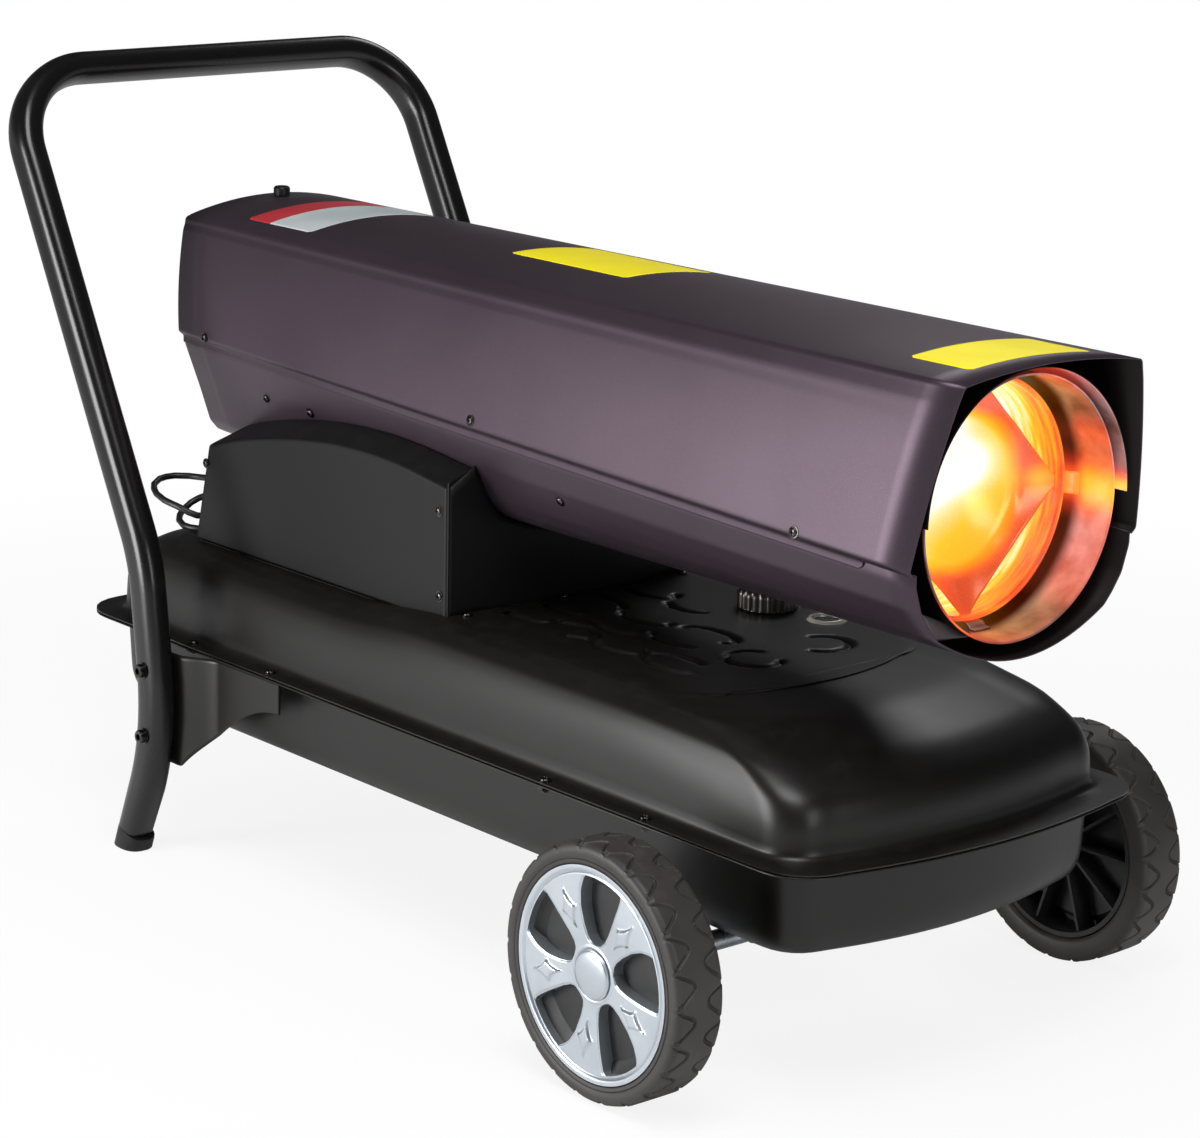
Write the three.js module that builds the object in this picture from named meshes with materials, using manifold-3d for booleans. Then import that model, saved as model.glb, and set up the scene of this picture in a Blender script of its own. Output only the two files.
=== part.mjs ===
// Wheeled forced air heater: a fuel tank on two wheels and a bent tube handle, a housing with the
// controls, and a long sheet metal barrel with the fan, burner and combustion chamber inside.
// Millimetres, +Z up, +X towards the hot air outlet, -Y the side with the plain cover.

import * as THREE from 'three';
import { mergeVertices } from 'three/addons/utils/BufferGeometryUtils.js';
import Module from 'manifold-3d';

const wasm = await Module();
wasm.setup();

// ---------------------------------------------------------------- driving dimensions
const GAP = 0.3;

// The model is laid out from the axle; the shift puts the origin under the middle of the object.
const REAR_END = -906;
const FRONT_END = 181;
const ORIGIN_SHIFT = -(REAR_END + FRONT_END) / 2;

const WHEEL_RADIUS = 100;
const WHEEL_WIDTH = 45;
const WHEEL_Y = 251;
const TYRE_BORE = 80;
const TRIM_RADIUS = 83.5;
const TRIM_THICK = 4;
const WINDOW_COUNT = 5;
const HUB_RADIUS = 17;
const AXLE_RADIUS = 8;

const TANK_SHEET = 1.6;
const FLANGE_TOP = 191.3;
const TANK_SEAM = 189.5;
const TANK_TOP = 264;
const TANK_BOTTOM = 112;

const BARREL_SHEET = 1.2;
const BARREL_AXIS_Z = 446;
const CROWN_Z = 560;
const CREASE_HALF = 120.5;
const BARREL_REAR = { top: -794, crease: -766, cornerZ: 546, creaseZ: 449, bendY: 83, bendZ: 356, midY: 98, midZ: 395 };
const BARREL_FRONT = { top: 181, crease: 161, cornerZ: 552, creaseZ: 417, bendY: 94, bendZ: 364, midY: 107, midZ: 384 };
const BARREL_BOTTOM_Z = 334;
const LIP_FRONT = 109;

const LINER_RADIUS = 100;
const CHAMBER_RADIUS = 91;
const SHIELD_RADIUS = 106;

const HOUSING_FRONT = -355;
const HOUSING_REAR_LOW = -722;
const HOUSING_REAR_HIGH = -701;
const HOUSING_HALF = 132;
const HOUSING_BASE = 265.5;
const COVER_BASE = 268;

const TUBE_WIDE = 34;
const TUBE_DEEP = 27;
const TUBE_WALL = 1.6;
const LEG_Y = 219.5;
const BAR_X = -889;
const BAR_Z = 672.8;
const BAR_BEND = 77;
const LEG_KNEE = { x: -671.5, z: 270, bend: 150 };
const LEG_SHIN = { x: -652.5, z: 117, bend: 220 };
const LEG_FOOT = { x: -698, z: 0 };
const LEG_BOLT_X = -658;
const LEG_BOLTS_Z = [115, 175];

const CORD_RADIUS = 3.0;

// ---------------------------------------------------------------- materials
const paint = (color, roughness, metalness) => new THREE.MeshStandardMaterial({ color, roughness, metalness });
const AUBERGINE = () => paint(0x5b4a55, 0.45, 0.5);
const GLOSS_BLACK = () => paint(0x0d0d0e, 0.25, 0.2);
const SATIN_BLACK = () => paint(0x17171a, 0.5, 0.2);
const CHARCOAL = () => paint(0x222226, 0.7, 0.2);
const SILVER = () => paint(0xb9bcc0, 0.35, 0.7);
const CHROME = () => paint(0xd8dadc, 0.1, 1.0);
const ZINC = () => paint(0xb5bcc2, 0.3, 0.9);
const HOT_STEEL = () => paint(0xc06a2a, 0.4, 0.8);
const RUBBER = () => paint(0x19191a, 0.85, 0.0);
const BLACK_PLASTIC = () => paint(0x151516, 0.5, 0.0);
const BRASS = () => paint(0xb08d4a, 0.35, 0.9);
const CLEAR = () => paint(0xf2f4f4, 0.05, 0.0);
const BOARD_GREEN = () => paint(0x1f5a34, 0.6, 0.0);
const CERAMIC = () => paint(0xe8e4da, 0.4, 0.0);

// ---------------------------------------------------------------- geometry helpers
const vec = (x, y, z) => new THREE.Vector3(x, y, z);
const lerp = THREE.MathUtils.lerp;
const clamp01 = (t) => Math.min(Math.max(t, 0), 1);

// A triangle list as a geometry with shared vertices and no collapsed triangles.
function welded(geometry) {
  const bare = new THREE.BufferGeometry();
  bare.setAttribute('position', geometry.getAttribute('position').clone());
  if (geometry.index) bare.setIndex(geometry.index.clone());
  const merged = mergeVertices(bare, 1e-4);
  const index = [];
  for (let i = 0; i < merged.index.count; i += 3) {
    const [a, b, c] = [0, 1, 2].map((k) => merged.index.getX(i + k));
    if (a !== b && b !== c && c !== a) index.push(a, b, c);
  }
  merged.setIndex(index);
  return merged;
}

function signedVolume(geometry) {
  const p = geometry.getAttribute('position');
  let total = 0;
  for (let i = 0; i < geometry.index.count; i += 3) {
    const [a, b, c] = [0, 1, 2].map((k) => vec().fromBufferAttribute(p, geometry.index.getX(i + k)));
    total += a.dot(b.cross(c)) / 6;
  }
  return total;
}

// Turns the faces outwards.
function outward(geometry) {
  const solid = welded(geometry);
  if (signedVolume(solid) < 0) {
    const flipped = [];
    for (let i = 0; i < solid.index.count; i += 3) {
      flipped.push(solid.index.getX(i), solid.index.getX(i + 2), solid.index.getX(i + 1));
    }
    solid.setIndex(flipped);
  }
  return solid;
}

function toManifold(geometry) {
  const solid = outward(geometry);
  const vertProperties = new Float32Array(solid.getAttribute('position').array);
  const triVerts = new Uint32Array(solid.index.array);
  return new wasm.Manifold(new wasm.Mesh({ numProp: 3, vertProperties, triVerts }));
}

function fromManifold(manifold) {
  const { vertProperties, triVerts } = manifold.getMesh();
  const geometry = new THREE.BufferGeometry();
  geometry.setAttribute('position', new THREE.BufferAttribute(new Float32Array(vertProperties), 3));
  geometry.setIndex([...triVerts]);
  return geometry;
}

const join = (first, ...rest) => fromManifold(rest.reduce((a, b) => a.add(toManifold(b)), toManifold(first)));
const cut = (first, ...rest) => fromManifold(rest.reduce((a, b) => a.subtract(toManifold(b)), toManifold(first)));
const common = (a, b) => fromManifold(toManifold(a).intersect(toManifold(b)));

// Joins a row of rings, each with the same number of points, and closes both ends.
function loft(rings) {
  const count = rings[0].length;
  const positions = rings.flat().flatMap((p) => [p.x, p.y, p.z]);
  const index = [];
  for (let r = 0; r + 1 < rings.length; r += 1) {
    for (let i = 0; i < count; i += 1) {
      const j = (i + 1) % count;
      const [a, b, c, d] = [r * count + i, r * count + j, (r + 1) * count + j, (r + 1) * count + i];
      index.push(a, b, c, a, c, d);
    }
  }
  const cap = (ring, offset, flip) => {
    const normal = vec();
    const centre = ring.reduce((s, p) => s.add(p), vec()).divideScalar(count);
    ring.forEach((p, i) => {
      normal.add(p.clone().sub(centre).cross(ring[(i + 1) % count].clone().sub(centre)));
    });
    const turn = new THREE.Quaternion().setFromUnitVectors(normal.normalize(), vec(0, 0, 1));
    const flat = ring.map((p) => p.clone().applyQuaternion(turn)).map((p) => new THREE.Vector2(p.x, p.y));
    THREE.ShapeUtils.triangulateShape(flat, []).forEach(([a, b, c]) => {
      if (flip) index.push(offset + a, offset + c, offset + b);
      else index.push(offset + a, offset + b, offset + c);
    });
  };
  cap(rings[0], 0, true);
  cap(rings[rings.length - 1], (rings.length - 1) * count, false);
  const geometry = new THREE.BufferGeometry();
  geometry.setAttribute('position', new THREE.Float32BufferAttribute(positions, 3));
  geometry.setIndex(index);
  return outward(geometry);
}

// A sheet between an outer and an inner grid of points, rows[i][j].
function sheet(outer, inner) {
  const rings = outer.map((row, i) => [...row, ...[...inner[i]].reverse()]);
  return loft(rings);
}

// A plate in the XY plane, swept along +Z by depth.
function plate(points, depth, holes = []) {
  const shape = new THREE.Shape(points.map(([x, y]) => new THREE.Vector2(x, y)));
  holes.forEach((hole) => shape.holes.push(new THREE.Path(hole.map(([x, y]) => new THREE.Vector2(x, y)))));
  return welded(new THREE.ExtrudeGeometry(shape, { depth, bevelEnabled: false }));
}

// The same plate stood up: its outline is in XZ and it is swept along +Y from y.
function plateXZ(points, y, depth, holes = []) {
  const geometry = plate(points, depth, holes);
  geometry.rotateX(Math.PI / 2);
  geometry.translate(0, y + depth, 0);
  return outward(geometry);
}

// The outline is in YZ and the plate is swept along +X from x.
function plateYZ(points, x, depth, holes = []) {
  const geometry = plate(points, depth, holes);
  geometry.rotateX(Math.PI / 2);
  geometry.rotateZ(Math.PI / 2);
  geometry.translate(x, 0, 0);
  return outward(geometry);
}

const circle = (radius, count, cx = 0, cy = 0) => Array.from({ length: count }, (_, i) => {
  const a = (2 * Math.PI * i) / count;
  return [cx + radius * Math.cos(a), cy + radius * Math.sin(a)];
});

function block(x0, x1, y0, y1, z0, z1) {
  const geometry = new THREE.BoxGeometry(x1 - x0, y1 - y0, z1 - z0);
  geometry.translate((x0 + x1) / 2, (y0 + y1) / 2, (z0 + z1) / 2);
  return welded(geometry);
}

// A turned body about +Z; the profile lists [radius, height] and closes on itself or on the axis.
function turned(profile, segments) {
  const closed = profile[0][0] === 0 ? profile : [...profile, profile[0]];
  const geometry = new THREE.LatheGeometry(closed.map(([r, h]) => new THREE.Vector2(r, h)), segments);
  geometry.rotateX(Math.PI / 2);
  return outward(geometry);
}

const alongX = (geometry) => geometry.rotateY(Math.PI / 2);
const alongY = (geometry) => geometry.rotateX(-Math.PI / 2);
const placed = (geometry, x, y, z) => geometry.translate(x, y, z);
const rod = (radius, h0, h1, segments = 20) => turned([[0, h0], [radius, h0], [radius, h1], [0, h1]], segments);
const pipe = (inner, outer, h0, h1, segments) => turned([[inner, h0], [outer, h0], [outer, h1], [inner, h1]], segments);

// A round tube through a list of points.
function hose(points, radius, steps, sides = 8) {
  const path = new THREE.CatmullRomCurve3(points.map((p) => vec(...p)), false, 'centripetal');
  const section = new THREE.Shape(circle(radius, sides).map(([x, y]) => new THREE.Vector2(x, y)));
  return outward(new THREE.ExtrudeGeometry(section, { steps, bevelEnabled: false, extrudePath: path }));
}

function mesh(name, geometry, material) {
  const node = new THREE.Mesh(outward(geometry), material);
  node.name = name;
  return node;
}

// ---------------------------------------------------------------- tank
// A plan outline at one level: straight sides, a bowed front and rounded corners, as [x, y, frontness].
function tankOutline({ front, rear, half, corner, bow }) {
  const points = [];
  const arc = (cx, cy, start) => {
    for (let k = 0; k <= 4; k += 1) {
      const a = start + (k * Math.PI) / 8;
      points.push([cx + corner * Math.cos(a), cy + corner * Math.sin(a)]);
    }
  };
  const bowed = (y) => front - bow * (y / half) ** 2;
  for (const y of [-0.55, 0, 0.55]) points.push([bowed(y * half), y * half]);
  arc(bowed(half - corner) - corner, half - corner, 0);
  for (const t of [0.25, 0.5, 0.75]) points.push([lerp(front - 90, rear + 60, t), half]);
  arc(rear + corner, half - corner, Math.PI / 2);
  arc(rear + corner, corner - half, Math.PI);
  for (const t of [0.75, 0.5, 0.25]) points.push([lerp(front - 90, rear + 60, t), -half]);
  arc(bowed(half - corner) - corner, corner - half, 1.5 * Math.PI);
  return points;
}

// Height at a point: the side level towards the rear, falling to the front level near the nose.
const NOSE_FADE_START = -110;
const NOSE_FADE_END = 95;
function tankRing(level) {
  return tankOutline(level).map(([x, y]) => {
    const t = clamp01((x - NOSE_FADE_START) / (NOSE_FADE_END - NOSE_FADE_START));
    return vec(x, y, lerp(level.z, level.noseZ ?? level.z, t * t * (3 - 2 * t)));
  });
}

const shrunk = (level, by, drop) => ({
  ...level,
  front: level.front - by,
  rear: level.rear + by,
  half: level.half - by,
  corner: Math.max(level.corner - by, 6),
  z: level.z - drop,
  noseZ: (level.noseZ ?? level.z) - drop,
});

const FLANGE_EDGE = { front: 152, rear: -832, half: 189, corner: 42, bow: 30 };
const UPPER_LEVELS = [
  { front: 124, rear: -806, half: 170, corner: 34, bow: 28, z: FLANGE_TOP },
  { front: 122, rear: -804, half: 168, corner: 34, bow: 28, z: 228, noseZ: 203 },
  { front: 112, rear: -799, half: 163, corner: 36, bow: 30, z: 243, noseZ: 215 },
  { front: 70, rear: -790, half: 154, corner: 40, bow: 34, z: 254, noseZ: 236 },
  { front: 15, rear: -780, half: 143, corner: 44, bow: 38, z: 261, noseZ: 255 },
  { front: -42, rear: -768, half: 128, corner: 46, bow: 40, z: TANK_TOP },
];
const LOWER_LEVELS = [
  { front: 123, rear: -804, half: 168, corner: 32, bow: 28, z: TANK_SEAM - TANK_SHEET - GAP },
  { front: 121, rear: -802, half: 166, corner: 32, bow: 28, z: 132 },
  { front: 117, rear: -798, half: 162, corner: 32, bow: 28, z: 118 },
  { front: 107, rear: -788, half: 152, corner: 30, bow: 27, z: TANK_BOTTOM },
];

const FILLER = { x: -222, y: 104, neck: 22, cap: 26 };
const GAUGE = { x: -163, y: 116, bezel: 17, bore: 12 };
const DRAIN = { x: -700, y: -120 };

function tankUpper() {
  const edgeTop = tankRing({ ...FLANGE_EDGE, z: FLANGE_TOP });
  const edgeLow = tankRing({ ...FLANGE_EDGE, z: TANK_SEAM });
  const outer = UPPER_LEVELS.map(tankRing);
  const inner = UPPER_LEVELS.map((level, i) => tankRing(shrunk(level, TANK_SHEET, i === 0 ? FLANGE_TOP - TANK_SEAM : TANK_SHEET)));
  const body = loft([...inner.reverse(), edgeLow, edgeTop, ...outer]);
  const fillerHole = placed(rod(FILLER.neck + GAP, -10, 10, 24), FILLER.x, FILLER.y, TANK_TOP);
  const gaugeHole = placed(rod(GAUGE.bore + GAP, -10, 10, 20), GAUGE.x, GAUGE.y, TANK_TOP);
  return cut(body, fillerHole, gaugeHole);
}

function tankLower() {
  const top = TANK_SEAM - GAP;
  const edgeTop = tankRing({ ...FLANGE_EDGE, z: top });
  const edgeLow = tankRing({ ...FLANGE_EDGE, z: top - TANK_SHEET });
  const outer = LOWER_LEVELS.map(tankRing);
  const inner = LOWER_LEVELS.map((level, i) => tankRing(shrunk(level, TANK_SHEET, i === 0 ? -TANK_SHEET : -TANK_SHEET)));
  const body = loft([...inner.reverse(), edgeTop, edgeLow, ...outer]);
  return cut(body, placed(rod(6.3, -8, 8, 16), DRAIN.x, DRAIN.y, TANK_BOTTOM));
}

function drainPlug() {
  const plug = turned([[0, -5], [10, -5], [10, -GAP], [6, -GAP], [6, 9], [0, 9]], 16);
  return placed(plug, DRAIN.x, DRAIN.y, TANK_BOTTOM);
}

function fillerNeck() {
  const { neck } = FILLER;
  const flange = [[neck - 1.5, -18], [neck, -18], [neck, GAP], [neck + 6, GAP], [neck + 6, 1.8], [neck, 1.8]];
  return placed(turned([...flange, [neck, 14], [neck - 1.5, 14]], 20), FILLER.x, FILLER.y, TANK_TOP);
}

function fillerStrainer() {
  const r = FILLER.neck - 2;
  const cup = [[0, -70], [r - 3, -70], [r, -18], [r, 12], [r - 1, 12], [r - 1, -18], [r - 4, -69], [0, -69]];
  return placed(turned(cup, 20), FILLER.x, FILLER.y, TANK_TOP);
}

function fuelCap() {
  const { neck, cap } = FILLER;
  const under = [[neck + 0.6, 4], [cap, 4], [cap, 17], [cap - 2, 20], [cap - 9, 23], [0, 24]];
  const inside = [[0, 14.6], [neck + 0.6, 14.6]];
  return placed(turned([inside[0], inside[1], ...under], 24), FILLER.x, FILLER.y, TANK_TOP);
}

function gaugeBezel() {
  const { bore, bezel } = GAUGE;
  const ring = [[bore - 2, -14], [bore, -14], [bore, GAP], [bezel, GAP], [bezel, 3.5], [bezel - 2.5, 6.5]];
  const seat = [[bore + 0.5, 6.5], [bore + 0.5, 4.6], [bore - 2, 4.6]];
  const stem = join(
    turned([...ring, ...seat], 20),
    block(-bore + 1, bore - 1, -1.5, 1.5, -14, -12),
    block(-2, 2, -1.5, 1.5, -34, -12),
  );
  return placed(stem, GAUGE.x, GAUGE.y, TANK_TOP);
}

function gaugeLens() {
  const r = GAUGE.bore;
  return placed(turned([[0, 5], [r, 5], [r, 6.4], [0, 7.6]], 24), GAUGE.x, GAUGE.y, TANK_TOP);
}

function gaugeNeedle() {
  const pointer = join(rod(2, 1.2, 3.2, 12), block(-1, 1, -8.5, 3, 1.6, 2.6));
  return placed(pointer, GAUGE.x, GAUGE.y, TANK_TOP);
}

// The float hangs on a rod from the foot of the gauge stem, at its lowest, as in an empty tank.
const FLOAT_PIVOT_Z = TANK_TOP - 31;
const FLOAT_ARM = 110;
const FLOAT_DROP = THREE.MathUtils.degToRad(50);
function floatArm() {
  const arm = block(-3, FLOAT_ARM, 2, 4, -1.5, 1.5);
  const float = placed(alongY(rod(14, -17, 17, 18)), FLOAT_ARM, 3, -13);
  return placed(join(arm, float).rotateY(FLOAT_DROP), GAUGE.x, GAUGE.y, FLOAT_PIVOT_Z);
}

// ---------------------------------------------------------------- wheels
function tyre() {
  const h = WHEEL_WIDTH / 2;
  const face = TRIM_RADIUS + 0.8;
  const outside = [[face, h - TRIM_THICK - 1], [face, h - 0.6], [96, h], [WHEEL_RADIUS, h - 5]];
  const inside = [[WHEEL_RADIUS, 5 - h], [96, -h], [TYRE_BORE + 3, -h], [TYRE_BORE, 3 - h]];
  return turned([[TYRE_BORE, h - TRIM_THICK - 1], ...outside, ...inside], 32);
}

// Black wheel body: rim barrel, web behind the trim, hub tube and thin ribs open to the inner side.
const RIB_COUNT = 10;
function wheelCore() {
  const front = WHEEL_WIDTH / 2 - TRIM_THICK - GAP - 1;
  const back = 3 - WHEEL_WIDTH / 2;
  const bore = AXLE_RADIUS + 0.2;
  const rim = TYRE_BORE - 1.0;
  const body = turned([
    [bore, front], [rim, front], [rim, back], [rim - 4, back], [rim - 5, front - 4],
    [15, front - 4], [14, back - 2], [bore, back - 2],
  ], 24);
  const ribs = Array.from({ length: RIB_COUNT }, (_, i) => (
    block(13, rim - 3, -1.25, 1.25, back + 6, front - 2).rotateZ((2 * Math.PI * i) / RIB_COUNT)
  ));
  return join(body, ...ribs);
}

// One window of the trim: narrow at the hub, wide at the rim, with rounded ends.
function trimWindow(turn) {
  const [inner, outer] = [29, 73];
  const half = Math.PI / WINDOW_COUNT;
  const corners = [[inner, 0.26], [inner + 5, 0.42], [52, 0.5], [outer - 4, 0.52], [outer, 0.44], [outer + 2, 0]];
  const side = corners.map(([r, a]) => [r, a * half]);
  const both = [...side, ...side.slice(0, -1).reverse().map(([r, a]) => [r, -a])];
  return both.map(([r, a]) => [r * Math.cos(a + turn), r * Math.sin(a + turn)]);
}

function wheelTrim() {
  const windows = Array.from({ length: WINDOW_COUNT }, (_, i) => trimWindow((2 * Math.PI * i) / WINDOW_COUNT));
  const bore = circle(HUB_RADIUS + GAP, 20);
  const disc = plate(circle(TRIM_RADIUS, 40), TRIM_THICK, [bore, ...windows]);
  return placed(disc, 0, 0, WHEEL_WIDTH / 2 - TRIM_THICK - 0.7);
}

function hubCap() {
  const seat = WHEEL_WIDTH / 2 - TRIM_THICK - 1 + GAP;
  const r = HUB_RADIUS;
  return turned([[0, seat], [r, seat], [r, seat + 5], [r - 2.5, seat + 7.5], [r - 9, seat + 9.5], [0, seat + 10]], 20);
}

// Shapes are made with the outer face towards +Z and turned to face away from the heater.
function wheel(side, y) {
  const group = new THREE.Group();
  group.position.set(0, y, WHEEL_RADIUS);
  group.rotation.x = y < 0 ? Math.PI / 2 : -Math.PI / 2;
  group.add(
    mesh(`tyre_${side}`, tyre(), RUBBER()),
    mesh(`wheel_core_${side}`, wheelCore(), BLACK_PLASTIC()),
    mesh(`wheel_trim_${side}`, wheelTrim(), SILVER()),
    mesh(`hub_cap_${side}`, hubCap(), SILVER()),
  );
  return group;
}

const AXLE_END = WHEEL_Y + WHEEL_WIDTH / 2 - TRIM_THICK - 2.5;
const axleRod = () => placed(alongY(rod(AXLE_RADIUS, -AXLE_END, AXLE_END, 20)), 0, 0, WHEEL_RADIUS);

// A hat section strap that holds the axle up against the tank floor.
function axleBracket() {
  const top = TANK_BOTTOM - GAP;
  const inner = AXLE_RADIUS + 0.4;
  const outer = inner + 2;
  const bowl = (radius, from, to) => Array.from({ length: 9 }, (_, i) => {
    const a = lerp(from, to, i / 8);
    return [radius * Math.cos(a), WHEEL_RADIUS + radius * Math.sin(a)];
  });
  const outline = [
    [-38, top], [-38, top - 2], [-outer, top - 2], ...bowl(outer, Math.PI, 2 * Math.PI), [outer, top - 2],
    [38, top - 2], [38, top], [inner, top], ...bowl(inner, 2 * Math.PI, Math.PI), [-inner, top],
  ];
  return plateXZ(outline, -112, 224);
}

// ---------------------------------------------------------------- handle
// Centre line of one leg in XZ, from the bar down to the foot, as arcs between straight runs.
function filleted(a, b, c, radius, steps) {
  const toA = a.clone().sub(b).normalize();
  const toC = c.clone().sub(b).normalize();
  const half = toA.angleTo(toC) / 2;
  const reach = radius / Math.tan(half);
  const centre = b.clone().add(toA.clone().add(toC).normalize().multiplyScalar(radius / Math.sin(half)));
  const start = b.clone().addScaledVector(toA, reach).sub(centre);
  const end = b.clone().addScaledVector(toC, reach).sub(centre);
  const sweep = start.angleTo(end);
  const axis = start.clone().cross(end).normalize();
  return Array.from({ length: steps + 1 }, (_, i) => (
    centre.clone().add(start.clone().applyAxisAngle(axis, (sweep * i) / steps))
  ));
}

function handlePath() {
  const foot = vec(LEG_FOOT.x, -LEG_Y, LEG_FOOT.z);
  const shin = vec(LEG_SHIN.x, -LEG_Y, LEG_SHIN.z);
  const knee = vec(LEG_KNEE.x, -LEG_Y, LEG_KNEE.z);
  const corner = vec(BAR_X, -LEG_Y, BAR_Z);
  const middle = vec(BAR_X, 0, BAR_Z);
  const near = [
    foot,
    ...filleted(foot, shin, knee, LEG_SHIN.bend, 4),
    ...filleted(shin, knee, corner, LEG_KNEE.bend, 3),
    ...filleted(knee, corner, middle, BAR_BEND, 6),
  ];
  const far = near.map((p) => vec(p.x, -p.y, p.z)).reverse();
  return [...near, middle, ...far];
}

// Rings of an oval section: wide across the plane of the bend, narrower in it.
function tubeRings(path, wide, deep, sides) {
  return path.map((p, i) => {
    const before = path[Math.max(i - 1, 0)];
    const after = path[Math.min(i + 1, path.length - 1)];
    const away = p.clone().sub(before).normalize();
    const ahead = after.clone().sub(p).normalize();
    const tangent = away.add(ahead).normalize();
    const slope = i <= path.length / 2 ? 1 : -1;
    const leg = vec(tangent.x, 0, tangent.z).multiplyScalar(slope);
    const run = leg.length() > 0.02 ? leg.normalize() : handleSlope();
    const across = run.clone().cross(vec(0, 1, 0)).normalize();
    const inPlane = tangent.clone().cross(across).normalize();
    return circle(1, sides).map(([c, s]) => {
      const square = 1 / (Math.abs(c) ** 2.6 + Math.abs(s) ** 2.6) ** (1 / 2.6);
      return p.clone()
        .addScaledVector(across, (c * square * wide) / 2)
        .addScaledVector(inPlane, (s * square * deep) / 2);
    });
  });
}

const handleSlope = () => vec(BAR_X - LEG_KNEE.x, 0, BAR_Z - LEG_KNEE.z).normalize();

const FOOT_TRIM = 7;
function handleFrame() {
  const path = handlePath();
  const outer = loft(tubeRings(path, TUBE_WIDE, TUBE_DEEP, 14));
  const wall = 2 * TUBE_WALL;
  const reachPast = path.map((p, i) => {
    const end = i === 0 || i === path.length - 1;
    return end ? vec(p.x - 6, p.y, p.z - 15) : p;
  });
  const bore = loft(tubeRings(reachPast, TUBE_WIDE - wall, TUBE_DEEP - wall, 8));
  const holes = legBoltPlaces().map(([y, z]) => legBoltHole(y, z));
  const floor = block(-760, -640, -260, 260, -40, FOOT_TRIM);
  return cut(outer, bore, floor, ...holes);
}

const legBoltPlaces = () => [-LEG_Y, LEG_Y].flatMap((y) => LEG_BOLTS_Z.map((z) => [y, z]));
const legBoltHole = (y, z) => placed(alongY(rod(4.5, -40, 40, 8)), LEG_BOLT_X, y, z);

function footCap(side) {
  const y = side * LEG_Y;
  const down = vec(LEG_FOOT.x - LEG_SHIN.x, 0, LEG_FOOT.z - LEG_SHIN.z).normalize();
  const at = (t) => vec(LEG_FOOT.x, y, LEG_FOOT.z).addScaledVector(down, t);
  const boot = loft(tubeRings([at(14), at(-26)], TUBE_WIDE + 2.6, TUBE_DEEP + 2.6, 14));
  const socket = loft(tubeRings([at(14), at(-40)], TUBE_WIDE + 2 * GAP, TUBE_DEEP + 2 * GAP, 14));
  const ground = block(-760, -640, y - 30, y + 30, -40, 0);
  const seat = common(socket, block(-760, -640, y - 30, y + 30, FOOT_TRIM - GAP, 60));
  return cut(boot, seat, ground);
}

// Gusset under the flange with a stand-off that meets the leg.
const BRACKET_Y = 188;
function legBracket(side) {
  const top = TANK_SEAM - TANK_SHEET - 2 * GAP - 0.2;
  const hollow = Array.from({ length: 6 }, (_, i) => {
    const a = (i / 5) * (Math.PI / 2);
    return [lerp(-538, -646, 1 - Math.cos(a)), lerp(160, 86, Math.sin(a) ** 1.6)];
  });
  const outline = [[-517, top], [-517, 160], ...hollow, [-684, 84], [-690, top]];
  const web = plateXZ(outline, -BRACKET_Y, 2.5);
  const legFace = -LEG_Y + TUBE_DEEP / 2 + GAP;
  const pad = cut(
    block(LEG_BOLT_X - 20, LEG_BOLT_X + 20, legFace, -BRACKET_Y + 1, 96, top),
    block(LEG_BOLT_X - 17.5, LEG_BOLT_X + 17.5, legFace + 2.5, -BRACKET_Y + 4, 98.5, top - 2.5),
  );
  const opened = cut(web, block(LEG_BOLT_X - 17.5, LEG_BOLT_X + 17.5, -BRACKET_Y - 1, -BRACKET_Y + 4, 98.5, top - 2.5));
  const holes = LEG_BOLTS_Z.map((z) => legBoltHole(-LEG_Y, z));
  const bracket = cut(join(opened, pad), ...holes);
  if (side > 0) bracket.scale(1, -1, 1);
  return bracket;
}

function legBolt(side, z) {
  const shank = 4;
  const head = 7.5;
  const out = TUBE_DEEP / 2 + GAP;
  const bolt = turned([[0, -22], [shank, -22], [shank, out], [head, out], [head, out + 4], [0, out + 6]], 12);
  const facing = side < 0 ? bolt.rotateX(Math.PI / 2) : alongY(bolt);
  return placed(facing, LEG_BOLT_X, side * LEG_Y, z);
}

// ---------------------------------------------------------------- barrel
const barrelMix = (x) => (x - BARREL_REAR.crease) / (BARREL_FRONT.crease - BARREL_REAR.crease);
const barrelAt = (t) => Object.fromEntries(
  Object.keys(BARREL_REAR).map((key) => [key, lerp(BARREL_REAR[key], BARREL_FRONT[key], t)]),
);

const BARREL_STATIONS = [0, 0.33, 0.67, 1];
const CORNER_HALF = 94;
const SIDE_BULGE = 3;
const JOGGLE = 4;

// Half of the upper shell's section from the crown to the hem, as [y, z].
function upperHalf({ cornerZ, creaseZ }) {
  const crown = [0, 0.3, 0.6, 0.86].map((t) => {
    const y = t * CORNER_HALF;
    return [y, lerp(CROWN_Z, cornerZ, t * t)];
  });
  const corner = [[CORNER_HALF - 4.5, cornerZ + 0.2], [CORNER_HALF - 0.6, cornerZ - 3.2], [CORNER_HALF + 1.2, cornerZ - 8]];
  const side = [0.3, 0.52, 0.76].map((t) => [
    lerp(CORNER_HALF, CREASE_HALF, t) + SIDE_BULGE * 4 * t * (1 - t),
    lerp(cornerZ, creaseZ, t),
  ]);
  const hem = [[CREASE_HALF, creaseZ + 1], [CREASE_HALF - JOGGLE, creaseZ - 5], [CREASE_HALF - JOGGLE, creaseZ - 11]];
  return [...crown, ...corner, ...side, ...hem];
}

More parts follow.
